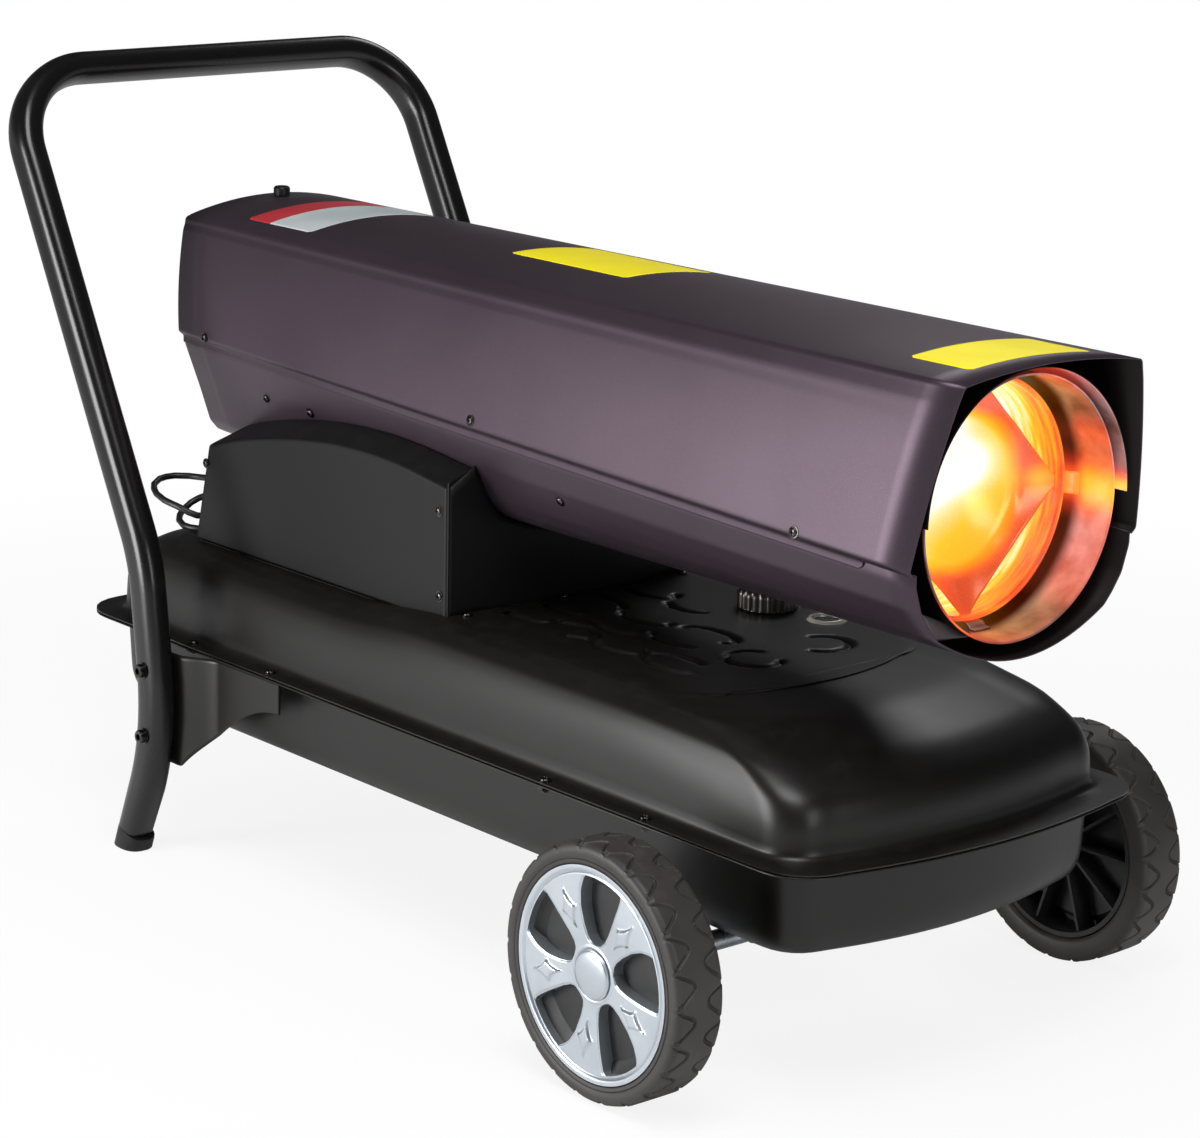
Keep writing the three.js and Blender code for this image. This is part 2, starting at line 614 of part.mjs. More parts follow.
// Half of the lower shell's section from the keel to the tucked-in top edge.
function lowerHalf({ creaseZ, bendY, bendZ, midY, midZ }) {
  const rise = bendZ - BARREL_BOTTOM_Z;
  const keel = [0, 0.35, 0.7, 0.93].map((t) => [t * bendY, BARREL_BOTTOM_Z + rise * t * t]);
  const tuck = CREASE_HALF - JOGGLE - BARREL_SHEET - GAP;
  return [...keel, [bendY + 4, bendZ + 7], [midY, midZ], [tuck, creaseZ - 12], [tuck, creaseZ - 3]];
}

// The section moved inwards by a distance, along the mean of its neighbours' normals.
function insetHalf(half, by) {
  return half.map(([y, z], i) => {
    const [y0, z0] = half[Math.max(i - 1, 0)];
    const [y1, z1] = half[Math.min(i + 1, half.length - 1)];
    const length = Math.hypot(y1 - y0, z1 - z0);
    const ny = -(z1 - z0) / length;
    const nz = (y1 - y0) / length;
    const inward = ny * y + nz * (z - BARREL_AXIS_Z) < 0 ? 1 : -1;
    return [i === 0 ? 0 : y + inward * ny * by, i === 0 ? z - Math.sign(z - BARREL_AXIS_Z) * by : z + inward * nz * by];
  });
}

const bothSides = (half) => [...half.slice(1).map(([y, z]) => [-y, z]).reverse(), ...half];

// The ends lean: the crown reaches further out than the crease.
function endX(end, z) {
  const t = clamp01((z - end.creaseZ) / (end.cornerZ - end.creaseZ));
  return lerp(end.crease, end.top, t);
}

function shellUpper() {
  const rows = BARREL_STATIONS.map((t) => {
    const end = barrelAt(t);
    const half = upperHalf(end);
    const place = ([y, z]) => vec(endX(end, z), y, z);
    return [bothSides(half).map(place), bothSides(insetHalf(half, BARREL_SHEET)).map(place)];
  });
  const body = sheet(rows.map((r) => r[0]), rows.map((r) => r[1]));
  const hemTop = lerp(BARREL_REAR.creaseZ, BARREL_FRONT.creaseZ, barrelMix(LIP_FRONT)) - 4.4;
  const trimmed = [-1, 1].map((s) => placed(block(0, 80, -8, 8, -20, 0), LIP_FRONT, s * (CREASE_HALF - 3), hemTop));
  return cut(body, ...trimmed, placed(rod(4.3, -12, 12, 12), TOP_KNOB.x, 0, CROWN_Z));
}

function shellLower() {
  const rows = BARREL_STATIONS.map((t) => {
    const end = barrelAt(t);
    const half = lowerHalf(end);
    const place = ([y, z]) => vec(end.crease, y, z);
    return [bothSides(half).map(place), bothSides(insetHalf(half, BARREL_SHEET)).map(place)];
  });
  const body = sheet(rows.map((r) => r[0]), rows.map((r) => r[1]));
  const holes = [FUEL_LINE, AIR_LINE].map(({ x, y }) => placed(rod(HOSE_RADIUS + 2, -40, 60, 12), x, y, BARREL_BOTTOM_Z));
  return cut(body, ...holes);
}

const TOP_KNOB = { x: -776 };
const topKnob = () => placed(turned([[0, -6], [4, -6], [4, GAP], [7.5, GAP], [7.5, 7], [6, 8.6], [0, 9]], 16), TOP_KNOB.x, 0, CROWN_Z);

// Rear guard: a plate that closes the barrel, with rings of slots for the intake air.
const GUARD_X = -752;
function rearGuard() {
  const half = [[0, 556], [60, 551], [86, 542], [106, 500], [113, 452], [108, 430], [90, 384], [76, 359], [40, 342.5], [0, 337]];
  const outline = [...half, ...half.slice(1, -1).map(([y, z]) => [-y, z]).reverse()];
  const slots = [];
  for (const [inner, outer, count] of [[30, 60, 8], [66, 96, 12]]) {
    const pitch = (2 * Math.PI) / count;
    for (let k = 0; k < count; k += 1) {
      const a0 = k * pitch + 0.09 * pitch;
      const a1 = (k + 1) * pitch - 0.09 * pitch;
      const mid = (a0 + a1) / 2;
      const at = (r, a) => [r * Math.cos(a), BARREL_AXIS_Z + r * Math.sin(a)];
      slots.push([at(inner, a0), at(outer, a0), at(outer, mid), at(outer, a1), at(inner, a1)]);
    }
  }
  return plateYZ(outline, GUARD_X, 1.5, slots);
}

// ---------------------------------------------------------------- outlet and burner
const onAxis = (geometry) => placed(alongX(geometry), 0, 0, BARREL_AXIS_Z);
const LINER_FRONT = 155;
const SHIELD_FRONT = 163;
const CHAMBER_FRONT = 112;
const CHAMBER_REAR = -420;
const BURNER_X = -414;
const IGNITER_RISE = 37;

function outletLiner() {
  const r = LINER_RADIUS;
  return onAxis(turned([[r - 1, 20], [r, 20], [r, LINER_FRONT - 1], [r + 1, LINER_FRONT], [r - 1, LINER_FRONT]], 32));
}

// Half round heat shield between the upper shell and the chamber.
function heatShield() {
  const r = SHIELD_RADIUS;
  const band = [];
  for (let k = 0; k <= 20; k += 1) band.push([r, (Math.PI * k) / 20]);
  for (let k = 20; k >= 0; k -= 1) band.push([r - 1, (Math.PI * k) / 20]);
  const outline = band.map(([q, a]) => [q * Math.cos(a), BARREL_AXIS_Z + 1 + q * Math.sin(a)]);
  return plateYZ(outline, -300, SHIELD_FRONT + 300);
}

function combustionChamber() {
  const r = CHAMBER_RADIUS;
  const drum = onAxis(turned([
    [30, CHAMBER_REAR], [r - 6, CHAMBER_REAR], [r, CHAMBER_REAR + 6], [r, CHAMBER_FRONT - 3], [r + 1.6, CHAMBER_FRONT - 1],
    [r + 0.4, CHAMBER_FRONT], [r - 1.2, CHAMBER_FRONT - 3], [r - 1.2, CHAMBER_REAR + 7], [r - 7, CHAMBER_REAR + 1.5], [30, CHAMBER_REAR + 1.5],
  ], 28));
  return cut(drum, placed(alongX(rod(5.5, -6, 6, 12)), CHAMBER_REAR, 0, BARREL_AXIS_Z + IGNITER_RISE));
}

// Four-pointed dished plate that spreads the flame, its points reaching the chamber's lip.
const STAR_TIP = 88.5;
const STAR_WAIST = 61;
function flameDeflector() {
  const steps = 5;
  const radii = [0.12, 0.5, 0.8, 1];
  const edge = Array.from({ length: 8 * steps }, (_, i) => {
    const a = (2 * Math.PI * i) / (8 * steps);
    const t = Math.abs(Math.cos(2 * a));
    return [a, lerp(STAR_WAIST, STAR_TIP, t ** 2.2)];
  });
  const depth = (r) => 66 + 38 * (r / STAR_TIP) ** 1.6;
  const ring = (scale, thick) => edge.map(([a, reach]) => {
    const r = reach * scale;
    return vec(depth(r) - thick, r * Math.sin(a), BARREL_AXIS_Z + r * Math.cos(a));
  });
  return loft([...radii.map((s) => ring(s, 0)), ...[...radii].reverse().map((s) => ring(s, 1.2))]);
}

function burnerHead() {
  return onAxis(turned([
    [0, BURNER_X - 34], [20, BURNER_X - 34], [20, BURNER_X - 12], [28, BURNER_X - 8], [28, BURNER_X + 6],
    [10, BURNER_X + 8], [8, BURNER_X + 22], [3, BURNER_X + 26], [0, BURNER_X + 26],
  ], 18));
}

function sparkIgniter() {
  const stick = join(
    alongX(rod(5, -30, 10, 14)),
    alongX(rod(1.2, 8, 34, 8)),
  );
  return placed(stick, BURNER_X + 14, 0, BARREL_AXIS_Z + IGNITER_RISE);
}

function photocell() {
  return placed(alongX(rod(6, -12, 12, 14)), BURNER_X - 50, 48, BARREL_AXIS_Z - 40);
}

// ---------------------------------------------------------------- fan and motor
const FAN_X = -500;
const MOTOR = { front: -530, rear: -652, radius: 44 };
const BLADES = 5;
function fan() {
  const hub = alongX(turned([[0, -8], [18, -8], [20, -4], [20, 12], [12, 17], [0, 18]], 16));
  const shaft = alongX(rod(5, -68, 0, 12));
  const blades = Array.from({ length: BLADES }, (_, i) => {
    const rings = [16, 54, 92].map((r, k) => {
      const pitch = lerp(0.95, 0.5, k / 2);
      const chord = [14, 25, 20][k];
      return [[-1, -1], [1, -1], [1, 1], [-1, 1]].map(([c, t]) => {
        const along = c * chord;
        const off = t * 0.8;
        return vec(
          along * Math.sin(pitch) + off * Math.cos(pitch) + 2,
          along * Math.cos(pitch) - off * Math.sin(pitch),
          r,
        );
      });
    });
    return loft(rings).rotateX((2 * Math.PI * i) / BLADES);
  });
  return placed(join(hub, shaft, ...blades), FAN_X, 0, BARREL_AXIS_Z);
}

function motor() {
  const { front, rear, radius } = MOTOR;
  return onAxis(turned([
    [0, rear], [radius, rear], [radius, front - 10], [radius - 6, front - 4], [14, front - 4], [14, front],
    [6, front], [6, front - 42], [0, front - 42],
  ], 20));
}

function airPumpCover() {
  const x = MOTOR.rear - GAP;
  return onAxis(turned([[0, x - 34], [16, x - 34], [22, x - 28], [38, x - 24], [42, x - 18], [42, x], [0, x]], 18));
}

// Cradle that carries the motor on the barrel floor.
function motorBracket() {
  const r = MOTOR.radius + 0.5;
  const arc = Array.from({ length: 9 }, (_, i) => {
    const a = Math.PI * (1.18 + (0.64 * i) / 8);
    return [r * Math.cos(a), BARREL_AXIS_Z + r * Math.sin(a)];
  });
  const [left, right] = [arc[0], arc[8]];
  const foot = (y) => BARREL_BOTTOM_Z + BARREL_SHEET + GAP + 0.6 + (22 * y * y) / 83 ** 2;
  const outline = [
    ...arc, [right[0] + 10, right[1] + 1], [66, foot(66)], [60, foot(60)],
    [40, foot(40) + 22], [-40, foot(40) + 22], [-60, foot(60)], [-66, foot(66)], [left[0] - 10, left[1] + 1],
  ];
  return plateYZ(outline, -606, 30);
}

// ---------------------------------------------------------------- housing and controls
// Underside of the barrel at x: half width to height, with clearance below the sheet.
function barrelUnderside(x, clearance) {
  return insetHalf(lowerHalf(barrelAt(barrelMix(x))), -clearance).slice(0, 6);
}

function housingEnd(x, topZ, width) {
  const saddle = barrelUnderside(x, 1.0).filter(([, z]) => z < topZ);
  const last = saddle[saddle.length - 1];
  const half = [...saddle, [last[0] + 3, topZ], [width - 19, topZ], [width, topZ - 7]];
  const near = half.slice(1).map(([y, z]) => [-y, z]).reverse();
  return [...half, [width, HOUSING_BASE], [-width, HOUSING_BASE], ...near];
}

const REAR_PANEL_X = HOUSING_REAR_LOW + 2;
const REAR_LEAN = (HOUSING_REAR_HIGH - HOUSING_REAR_LOW) / 89;
const leant = (geometry) => geometry
  .translate(0, 0, -COVER_BASE)
  .applyMatrix4(new THREE.Matrix4().makeShear(0, 0, 0, 0, REAR_LEAN, 0))
  .translate(0, 0, COVER_BASE);

const FLOOR_HOLE = 9;
function baseHousing() {
  const inner = HOUSING_HALF - 2.2;
  const frontPanel = plateYZ(housingEnd(HOUSING_FRONT, 394, HOUSING_HALF), HOUSING_FRONT - 1.6, 1.6);
  const rearPanel = leant(plateYZ(housingEnd(-706, 353, inner), REAR_PANEL_X, 1.6));
  const floor = block(REAR_PANEL_X, HOUSING_FRONT + 12, -inner, inner, HOUSING_BASE - 1.2, HOUSING_BASE + 0.6);
  const lines = [FUEL_LINE, AIR_LINE].map(({ x, y }) => placed(rod(FLOOR_HOLE, -6, 6, 14), x, y, HOUSING_BASE));
  return cut(join(floor, frontPanel, rearPanel), ...lines, onRearPanel(rod(GLAND.neck + GAP, -10, 10, 16)));
}

// Side cover: an upright face with an arched top edge and a sloping flange up to the barrel.
const COVER_SHEET = 1.5;
const COVER_FRONT = HOUSING_FRONT - 1.9;
const ARCH = [[HOUSING_REAR_HIGH, 357], [-664, 368], [-620, 377.5], [-570, 386], [-519, 391.5], [-468, 393], [-420, 390.5], [COVER_FRONT, 382]];
const COVER_RISE = 14;
function sideCover(side) {
  const outline = [[COVER_FRONT, COVER_BASE], ...[...ARCH].reverse(), [HOUSING_REAR_LOW, COVER_BASE]];
  const face = plateXZ(outline, -HOUSING_HALF, COVER_SHEET);
  const flange = ARCH.map(([x, z]) => {
    const up = z + COVER_RISE - COVER_SHEET;
    const y = underWidth(x, up) + 1.2;
    const outer = [vec(x, -HOUSING_HALF, z), vec(x, -y, up)];
    const inner = outer.map((p) => vec(p.x, p.y + 0.8, p.z - COVER_SHEET));
    return [...outer, inner[1], vec(x, -HOUSING_HALF + COVER_SHEET, z - COVER_SHEET), vec(x, -HOUSING_HALF, z - COVER_SHEET)];
  });
  const cover = join(face, loft(flange));
  if (side > 0) cover.scale(1, -1, 1);
  return cover;
}

// Half width of the lower shell at a height on its side wall.
function underWidth(x, z) {
  const half = lowerHalf(barrelAt(barrelMix(x)));
  for (let i = 1; i < half.length; i += 1) {
    const [[y0, z0], [y1, z1]] = [half[i - 1], half[i]];
    if (z <= z1) return lerp(y0, y1, (z - z0) / (z1 - z0));
  }
  return half[half.length - 1][0];
}

const KNOB = { x: -470, z: 330 };
const SWITCH = { x: -585, z: 325 };
const farFace = HOUSING_HALF;

function farCover() {
  const holes = [
    placed(alongY(rod(4.4, -10, 10, 12)), KNOB.x, farFace, KNOB.z),
    block(SWITCH.x - 11, SWITCH.x + 11, farFace - 10, farFace + 10, SWITCH.z - 15, SWITCH.z + 15),
  ];
  return cut(sideCover(1), ...holes);
}

function thermostatBody() {
  const can = placed(alongY(rod(19, -26, -COVER_SHEET - GAP, 20)), KNOB.x, farFace, KNOB.z);
  const spindle = placed(alongY(rod(3, -4, 7, 12)), KNOB.x, farFace, KNOB.z);
  return join(can, spindle);
}

function thermostatKnob() {
  const grip = turned([[3.3, 1], [20, 1], [19.5, 4], [14, 6], [13, 19], [11, 20.5], [0, 20.5], [0, 7.4], [3.3, 7.4]], 20);
  const pointer = block(-1.2, 1.2, 9, 14.4, 8, 20.2);
  const knob = alongY(join(grip, pointer));
  return placed(knob, KNOB.x, farFace, KNOB.z);
}

function switchBezel() {
  const outer = [[-14, -18], [14, -18], [14, 18], [-14, 18]];
  const opening = [[-8, -12.5], [8, -12.5], [8, 12.5], [-8, 12.5]];
  const frame = plate(outer, 2, [opening]);
  const barrel = plate([[-10.5, -14.5], [10.5, -14.5], [10.5, 14.5], [-10.5, 14.5]], 22, [opening]);
  const back = block(-10.5, 10.5, -14.5, 14.5, -22, -20);
  const pins = [-1, 1].map((s) => block(s > 0 ? 7 : -8.5, s > 0 ? 8.5 : -7, -1, 1, -8, -6));
  const body = join(placed(frame, 0, 0, GAP), placed(barrel, 0, 0, -21), back, ...pins);
  return placed(alongY(body), SWITCH.x, farFace, SWITCH.z);
}

// The rocker turns on the two pins inside its bezel.
const ROCKER_PIVOT = -7;
function rockerSwitch() {
  const outline = [[-9.7, 3.2], [-9.8, -4], [-6, -8.5], [6, -8.5], [9.8, -4], [9.7, 7.4], [0, 5]];
  const paddle = plateYZ(outline, -7.6, 15.2);
  const sockets = [-1, 1].map((s) => block(s > 0 ? 6.6 : -9, s > 0 ? 9 : -6.6, -1.8, 1.8, -1.8, 1.8));
  const body = placed(cut(paddle, ...sockets), 0, 0, ROCKER_PIVOT);
  return placed(alongY(body), SWITCH.x, farFace, SWITCH.z);
}

const controlBoard = () => join(
  block(-690, -600, 20, 110, 279, 280.6),
  ...[[-684, 26], [-606, 26], [-606, 104], [-684, 104]].map(([x, y]) => placed(rod(3, 266.4, 279.4, 6), x, y, 0)),
  block(-675, -655, 50, 80, 280, 298),
  placed(rod(8, 280, 302, 10), -630, 45, 0),
);
const ignitionTransformer = () => join(
  block(-540, -470, -100, -40, 266.6, 318),
  block(-556, -454, -96, -44, 266.6, 269),
);

// ---------------------------------------------------------------- fuel and air lines
const HOSE_RADIUS = 4;
const FUEL_LINE = { x: -440, y: 52 };
const AIR_LINE = { x: -610, y: -60 };

function fuelHose() {
  const { x, y } = FUEL_LINE;
  const top = BARREL_AXIS_Z - 8;
  return hose([[x, y, HOUSING_BASE + 2.4], [x, y, 300], [x, y, 350], [x, y - 4, 385], [x - 1, 36, top - 10], [x - 2, 22, top]], HOSE_RADIUS, 14);
}

function airHose() {
  const { x, y } = AIR_LINE;
  return hose([[x, y, HOUSING_BASE + 2.4], [x, y, 300], [x, y, 346], [x - 30, y, 372], [x - 62, y, 392], [x - 66, y + 6, 414], [x - 66, y + 18, 432]], HOSE_RADIUS, 18);
}

// ---------------------------------------------------------------- cord
const GLAND = { y: -84, z: 303, neck: 7, reach: 28 };
const GLAND_X = REAR_PANEL_X + (GLAND.z - COVER_BASE) * REAR_LEAN;

// A body turned about +Z set square on the leaning rear panel, +Z pointing out of the housing.
const onRearPanel = (geometry) => placed(geometry.rotateY(-Math.PI / 2 + Math.atan(REAR_LEAN)), GLAND_X, GLAND.y, GLAND.z);

function cordGland() {
  const { neck, reach } = GLAND;
  const sleeve = [[0, reach], [CORD_RADIUS + 1.5, reach], [neck, 5], [10.5, 4], [10.5, GAP]];
  return onRearPanel(turned([...sleeve, [neck, GAP], [neck, -6], [0, -6]], 16));
}

// Free stretch: from the gland round two loose loops of 24 mm radius beside the housing, the lower
// one resting on the tank, and along the tank to the hank.
const CORD_ROUTE = [
  [-739.3, -84, 309.5], [-743.6, -84, 310.5], [-752.3, -83.8, 310.9], [-761.1, -83.5, 309.7],
  [-769.7, -83, 307.6], [-782.7, -83.1, 305], [-791, -84.9, 304.4], [-798.3, -89.1, 304.5],
  [-806, -99.7, 304.8], [-807.7, -107.9, 304.5], [-806.4, -115.9, 303.8], [-799.7, -126.3, 301.6],
  [-792.8, -130.9, 299], [-784.9, -133.4, 296.1], [-772.3, -133.6, 292.8], [-763.8, -132.2, 291.2],
  [-755.7, -129.9, 289.5], [-746.2, -124.5, 285.1], [-741.9, -118.7, 282.3], [-738.9, -111, 281.1],
  [-738.2, -98, 282.7], [-741.1, -89.9, 285.1], [-746.4, -83.5, 287.9], [-757.8, -78.2, 291.1],
  [-766.6, -77.9, 291.7], [-778.7, -82.1, 289.3], [-784.6, -87.6, 286], [-787.5, -94, 282.3],
  [-786.3, -104, 276.9], [-781.9, -110.5, 273.5], [-775.1, -115.7, 271], [-763, -119, 269],
  [-754.5, -117.7, 268.5], [-746.7, -113.6, 268.4], [-737.7, -103.6, 268.4], [-733.5, -95.7, 268.4],
  [-730.4, -87.2, 268.4], [-727.7, -74.1, 268.5], [-727.1, -56, 268.6], [-727.1, -45, 268.6],
  [-727.1, -34.3, 268.6],
];
const cordLead = () => hose(CORD_ROUTE, CORD_RADIUS, 66, 8);

// Hank of four layers, one turn to a layer, lying on the tank: each turn holds its width and climbs
// along its first run, then works inwards on the even layers and outwards on the odd ones.
const HANK = { x: -752, y: 22, run: 56, inner: 18, pitch: 6.9, layer: 6.8, turns: 3.5, steps: 24, sides: 6 };
const HANK_BASE = TANK_TOP + CORD_RADIUS + 1.6;
const HANK_WIDE = HANK.inner + HANK.pitch;
const HANK_TOP = HANK_BASE + 3 * HANK.layer;
const RUN_SHARE = 1 / 12;
function hankPoint(turn) {
  const { run, inner, pitch, layer } = HANK;
  const level = Math.floor(turn + 1e-9);
  const f = turn - level;
  const drawn = clamp01((f - RUN_SHARE) / (1 - RUN_SHARE));
  const radius = inner + pitch * (level % 2 === 0 ? 1 - drawn : drawn);
  const climb = level === 0 ? 0 : level - 1 + clamp01(f / RUN_SHARE);
  const side = f < 0.5 ? 1 : -1;
  const g = f < 0.5 ? f : f - 0.5;
  const a = (Math.PI * clamp01((g - RUN_SHARE) / (0.5 - RUN_SHARE)));
  const along = run * (2 * clamp01(g / RUN_SHARE) - 1);
  const x = side * radius * Math.cos(a);
  const y = side * (along + radius * Math.sin(a));
  return vec(HANK.x + x, HANK.y + y, HANK_BASE + layer * climb);
}

// The tail leaves the top layer and rises to the plug, which lies on the hank.
const PLUG_RADIUS = 14;
const PLUG_REAR = 20;
const PLUG = { x: HANK.x, y: HANK.y - 20, z: HANK_TOP + CORD_RADIUS + PLUG_RADIUS + 2.4 };
const TAIL_STEPS = 12;
const smooth = (t) => clamp01(t) ** 2 * (3 - 2 * clamp01(t));
function hankPath() {
  const count = Math.round(HANK.turns * HANK.steps);
  const path = Array.from({ length: count + 1 }, (_, i) => hankPoint((HANK.turns * i) / count));
  const last = path[count];
  const end = PLUG.y + PLUG_REAR + GAP;
  for (let i = 1; i < TAIL_STEPS; i += 1) {
    const t = i / TAIL_STEPS;
    path.push(vec(lerp(last.x, PLUG.x, smooth(t)), lerp(last.y, end + 6, t), lerp(last.z, PLUG.z, smooth(t))));
  }
  path.push(vec(PLUG.x, end + 6, PLUG.z), vec(PLUG.x, end, PLUG.z));
  return path;
}

function cordHank() {
  const path = hankPath();
  const rings = path.map((p, i) => {
    const tangent = path[Math.min(i + 1, path.length - 1)].clone().sub(path[Math.max(i - 1, 0)]).normalize();
    const across = vec(0, 0, 1).cross(tangent).normalize();
    const up = tangent.clone().cross(across);
    return circle(CORD_RADIUS, HANK.sides).map(([c, s]) => (
      p.clone().addScaledVector(across, c).addScaledVector(up, s)
    ));
  });
  return loft(rings);
}

function leastHankGap() {
  const path = new THREE.CatmullRomCurve3(hankPath()).getPoints(900);
  const apart = 90;
  let least = Infinity;
  for (let i = 0; i < path.length; i += 1) {
    for (let j = i + apart; j < path.length; j += 1) least = Math.min(least, path[i].distanceTo(path[j]));
  }
  return least - 2 * CORD_RADIUS;
}

function plug() {
  const r = PLUG_RADIUS;
  const grip = [[0, -PLUG_REAR], [5, -PLUG_REAR], [7, -8], [r - 2, -5], [r, 0], [r, 20], [r - 1, 22], [0, 22]];
  const pins = [-1, 1].map((side) => placed(rod(2.4, 20, 40, 10), side * 7, 0, 0));
  return placed(join(turned(grip, 20), ...pins).rotateX(Math.PI / 2), PLUG.x, PLUG.y, PLUG.z);
}

function cordTie() {
  const half = HANK_WIDE + CORD_RADIUS + 0.6;
  const top = HANK_TOP + CORD_RADIUS + 0.6 - TANK_TOP;
  const outer = [[-half - 1, GAP], [half + 1, GAP], [half + 1, top + 1], [-half - 1, top + 1]];
  const hole = [[-half, 1.1], [half, 1.1], [half, top], [-half, top]];
  return placed(plateXZ(outer, HANK.y - HANK.run + 2, 7, [hole]), HANK.x, 0, TANK_TOP);
}

// ---------------------------------------------------------------- assembly
const heater = new THREE.Group();
heater.position.x = ORIGIN_SHIFT;

function tankGroup() {
  const group = new THREE.Group();
  group.add(
    mesh('tank_lower', tankLower(), SATIN_BLACK()),
    mesh('tank_upper', tankUpper(), SATIN_BLACK()),
    mesh('drain_plug', drainPlug(), ZINC()),
    mesh('filler_neck', fillerNeck(), ZINC()),
    mesh('filler_strainer', fillerStrainer(), BRASS()),
    mesh('fuel_cap', fuelCap(), CHROME()),
    mesh('gauge_bezel', gaugeBezel(), CHROME()),
    mesh('gauge_lens', gaugeLens(), CLEAR()),
    mesh('gauge_needle', gaugeNeedle(), BLACK_PLASTIC()),
    mesh('float_arm', floatArm(), BRASS()),
  );
  return group;
}

function chassisGroup() {
  const group = new THREE.Group();
  group.add(
    mesh('axle_rod', axleRod(), ZINC()),
    mesh('axle_bracket', axleBracket(), SATIN_BLACK()),
    wheel('near', -WHEEL_Y),
    wheel('far', WHEEL_Y),
    mesh('handle_frame', handleFrame(), GLOSS_BLACK()),
  );
  for (const [name, side] of [['near', -1], ['far', 1]]) {
    group.add(
      mesh(`foot_cap_${name}`, footCap(side), BLACK_PLASTIC()),
      mesh(`leg_bracket_${name}`, legBracket(side), SATIN_BLACK()),
      mesh(`leg_bolt_low_${name}`, legBolt(side, LEG_BOLTS_Z[0]), SATIN_BLACK()),
      mesh(`leg_bolt_high_${name}`, legBolt(side, LEG_BOLTS_Z[1]), SATIN_BLACK()),
    );
  }
  return group;
}

function barrelGroup() {
  const group = new THREE.Group();
  group.add(
    mesh('shell_upper', shellUpper(), AUBERGINE()),
    mesh('shell_lower', shellLower(), AUBERGINE()),
    mesh('top_knob', topKnob(), BLACK_PLASTIC()),
    mesh('rear_guard', rearGuard(), SATIN_BLACK()),
    mesh('outlet_liner', outletLiner(), HOT_STEEL()),
    mesh('heat_shield', heatShield(), HOT_STEEL()),
    mesh('combustion_chamber', combustionChamber(), HOT_STEEL()),
    mesh('flame_deflector', flameDeflector(), HOT_STEEL()),
    mesh('burner_head', burnerHead(), BRASS()),
    mesh('spark_igniter', sparkIgniter(), CERAMIC()),
    mesh('photocell', photocell(), BLACK_PLASTIC()),
    mesh('fan', fan(), SILVER()),
    mesh('motor', motor(), CHARCOAL()),
    mesh('motor_bracket', motorBracket(), ZINC()),
    mesh('air_pump_cover', airPumpCover(), SILVER()),
    mesh('fuel_hose', fuelHose(), RUBBER()),
    mesh('air_hose', airHose(), RUBBER()),
  );
  return group;
}

function housingGroup() {
  const group = new THREE.Group();
  group.add(
    mesh('base_housing', baseHousing(), CHARCOAL()),
    mesh('side_cover_near', sideCover(-1), CHARCOAL()),
    mesh('side_cover_far', farCover(), CHARCOAL()),
    mesh('thermostat_body', thermostatBody(), BLACK_PLASTIC()),
    mesh('thermostat_knob', thermostatKnob(), BLACK_PLASTIC()),
    mesh('switch_bezel', switchBezel(), BLACK_PLASTIC()),
    mesh('rocker_switch', rockerSwitch(), BLACK_PLASTIC()),
    mesh('control_board', controlBoard(), BOARD_GREEN()),
    mesh('ignition_transformer', ignitionTransformer(), SATIN_BLACK()),
  );
  return group;
}

function cordGroup() {
  const group = new THREE.Group();
  group.add(
    mesh('cord_gland', cordGland(), BLACK_PLASTIC()),
    mesh('cord_lead', cordLead(), RUBBER()),
    mesh('cord_hank', cordHank(), RUBBER()),
    mesh('cord_tie', cordTie(), BLACK_PLASTIC()),
    mesh('plug', plug(), BLACK_PLASTIC()),
  );
  return group;
}

heater.add(tankGroup(), chassisGroup(), barrelGroup(), housingGroup(), cordGroup());
console.log(`least gap between turns of the cord hank: ${leastHankGap().toFixed(2)} mm`);

export default heater;
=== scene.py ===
"""Looks of a wheeled forced air heater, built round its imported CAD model.

Shapes are worked out in millimetres from the middle of the wheel axle, as in the part's source (x along the
barrel, y across, z up from the floor), and become metres of the shared frame when a mesh is made.
"""

import logging
import math
from dataclasses import dataclass, field
from enum import Enum
from typing import Optional, Sequence, Union

import bmesh
import bpy
import numpy as np
from mathutils import Matrix, Vector


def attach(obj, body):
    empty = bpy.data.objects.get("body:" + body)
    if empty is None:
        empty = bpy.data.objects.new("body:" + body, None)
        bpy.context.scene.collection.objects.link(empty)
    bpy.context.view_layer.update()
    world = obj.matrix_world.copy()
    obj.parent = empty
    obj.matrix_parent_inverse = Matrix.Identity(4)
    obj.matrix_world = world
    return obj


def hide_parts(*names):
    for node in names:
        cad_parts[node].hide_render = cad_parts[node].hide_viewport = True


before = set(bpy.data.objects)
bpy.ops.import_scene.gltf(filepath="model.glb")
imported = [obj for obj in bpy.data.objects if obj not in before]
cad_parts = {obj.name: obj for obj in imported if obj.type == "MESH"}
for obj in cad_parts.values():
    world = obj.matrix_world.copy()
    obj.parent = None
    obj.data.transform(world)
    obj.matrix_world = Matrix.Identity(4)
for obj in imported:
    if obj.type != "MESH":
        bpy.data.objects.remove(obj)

LOG = logging.getLogger("heater")
AXLE_SHIFT = 362.5
MM = 0.001
BARREL_AXIS = 446.0
TANK_TOP = 264.0
MERGE_WITHIN = 5e-6
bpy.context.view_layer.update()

Array = np.ndarray
Number = Union[float, np.ndarray]
Pair = tuple[float, float]
Triple = tuple[float, float, float]
Rgba = tuple[float, float, float, float]
Spot = tuple[float, float, float, float]
EVEN: Triple = (1.0, 1.0, 1.0)


# ------------------------------------------------------------------ numbers and lines
def to_frame(points: Array) -> Array:
    """Millimetres from the axle as metres in the shared frame."""
    return (np.asarray(points, float) + np.array([AXLE_SHIFT, 0.0, 0.0])) * MM


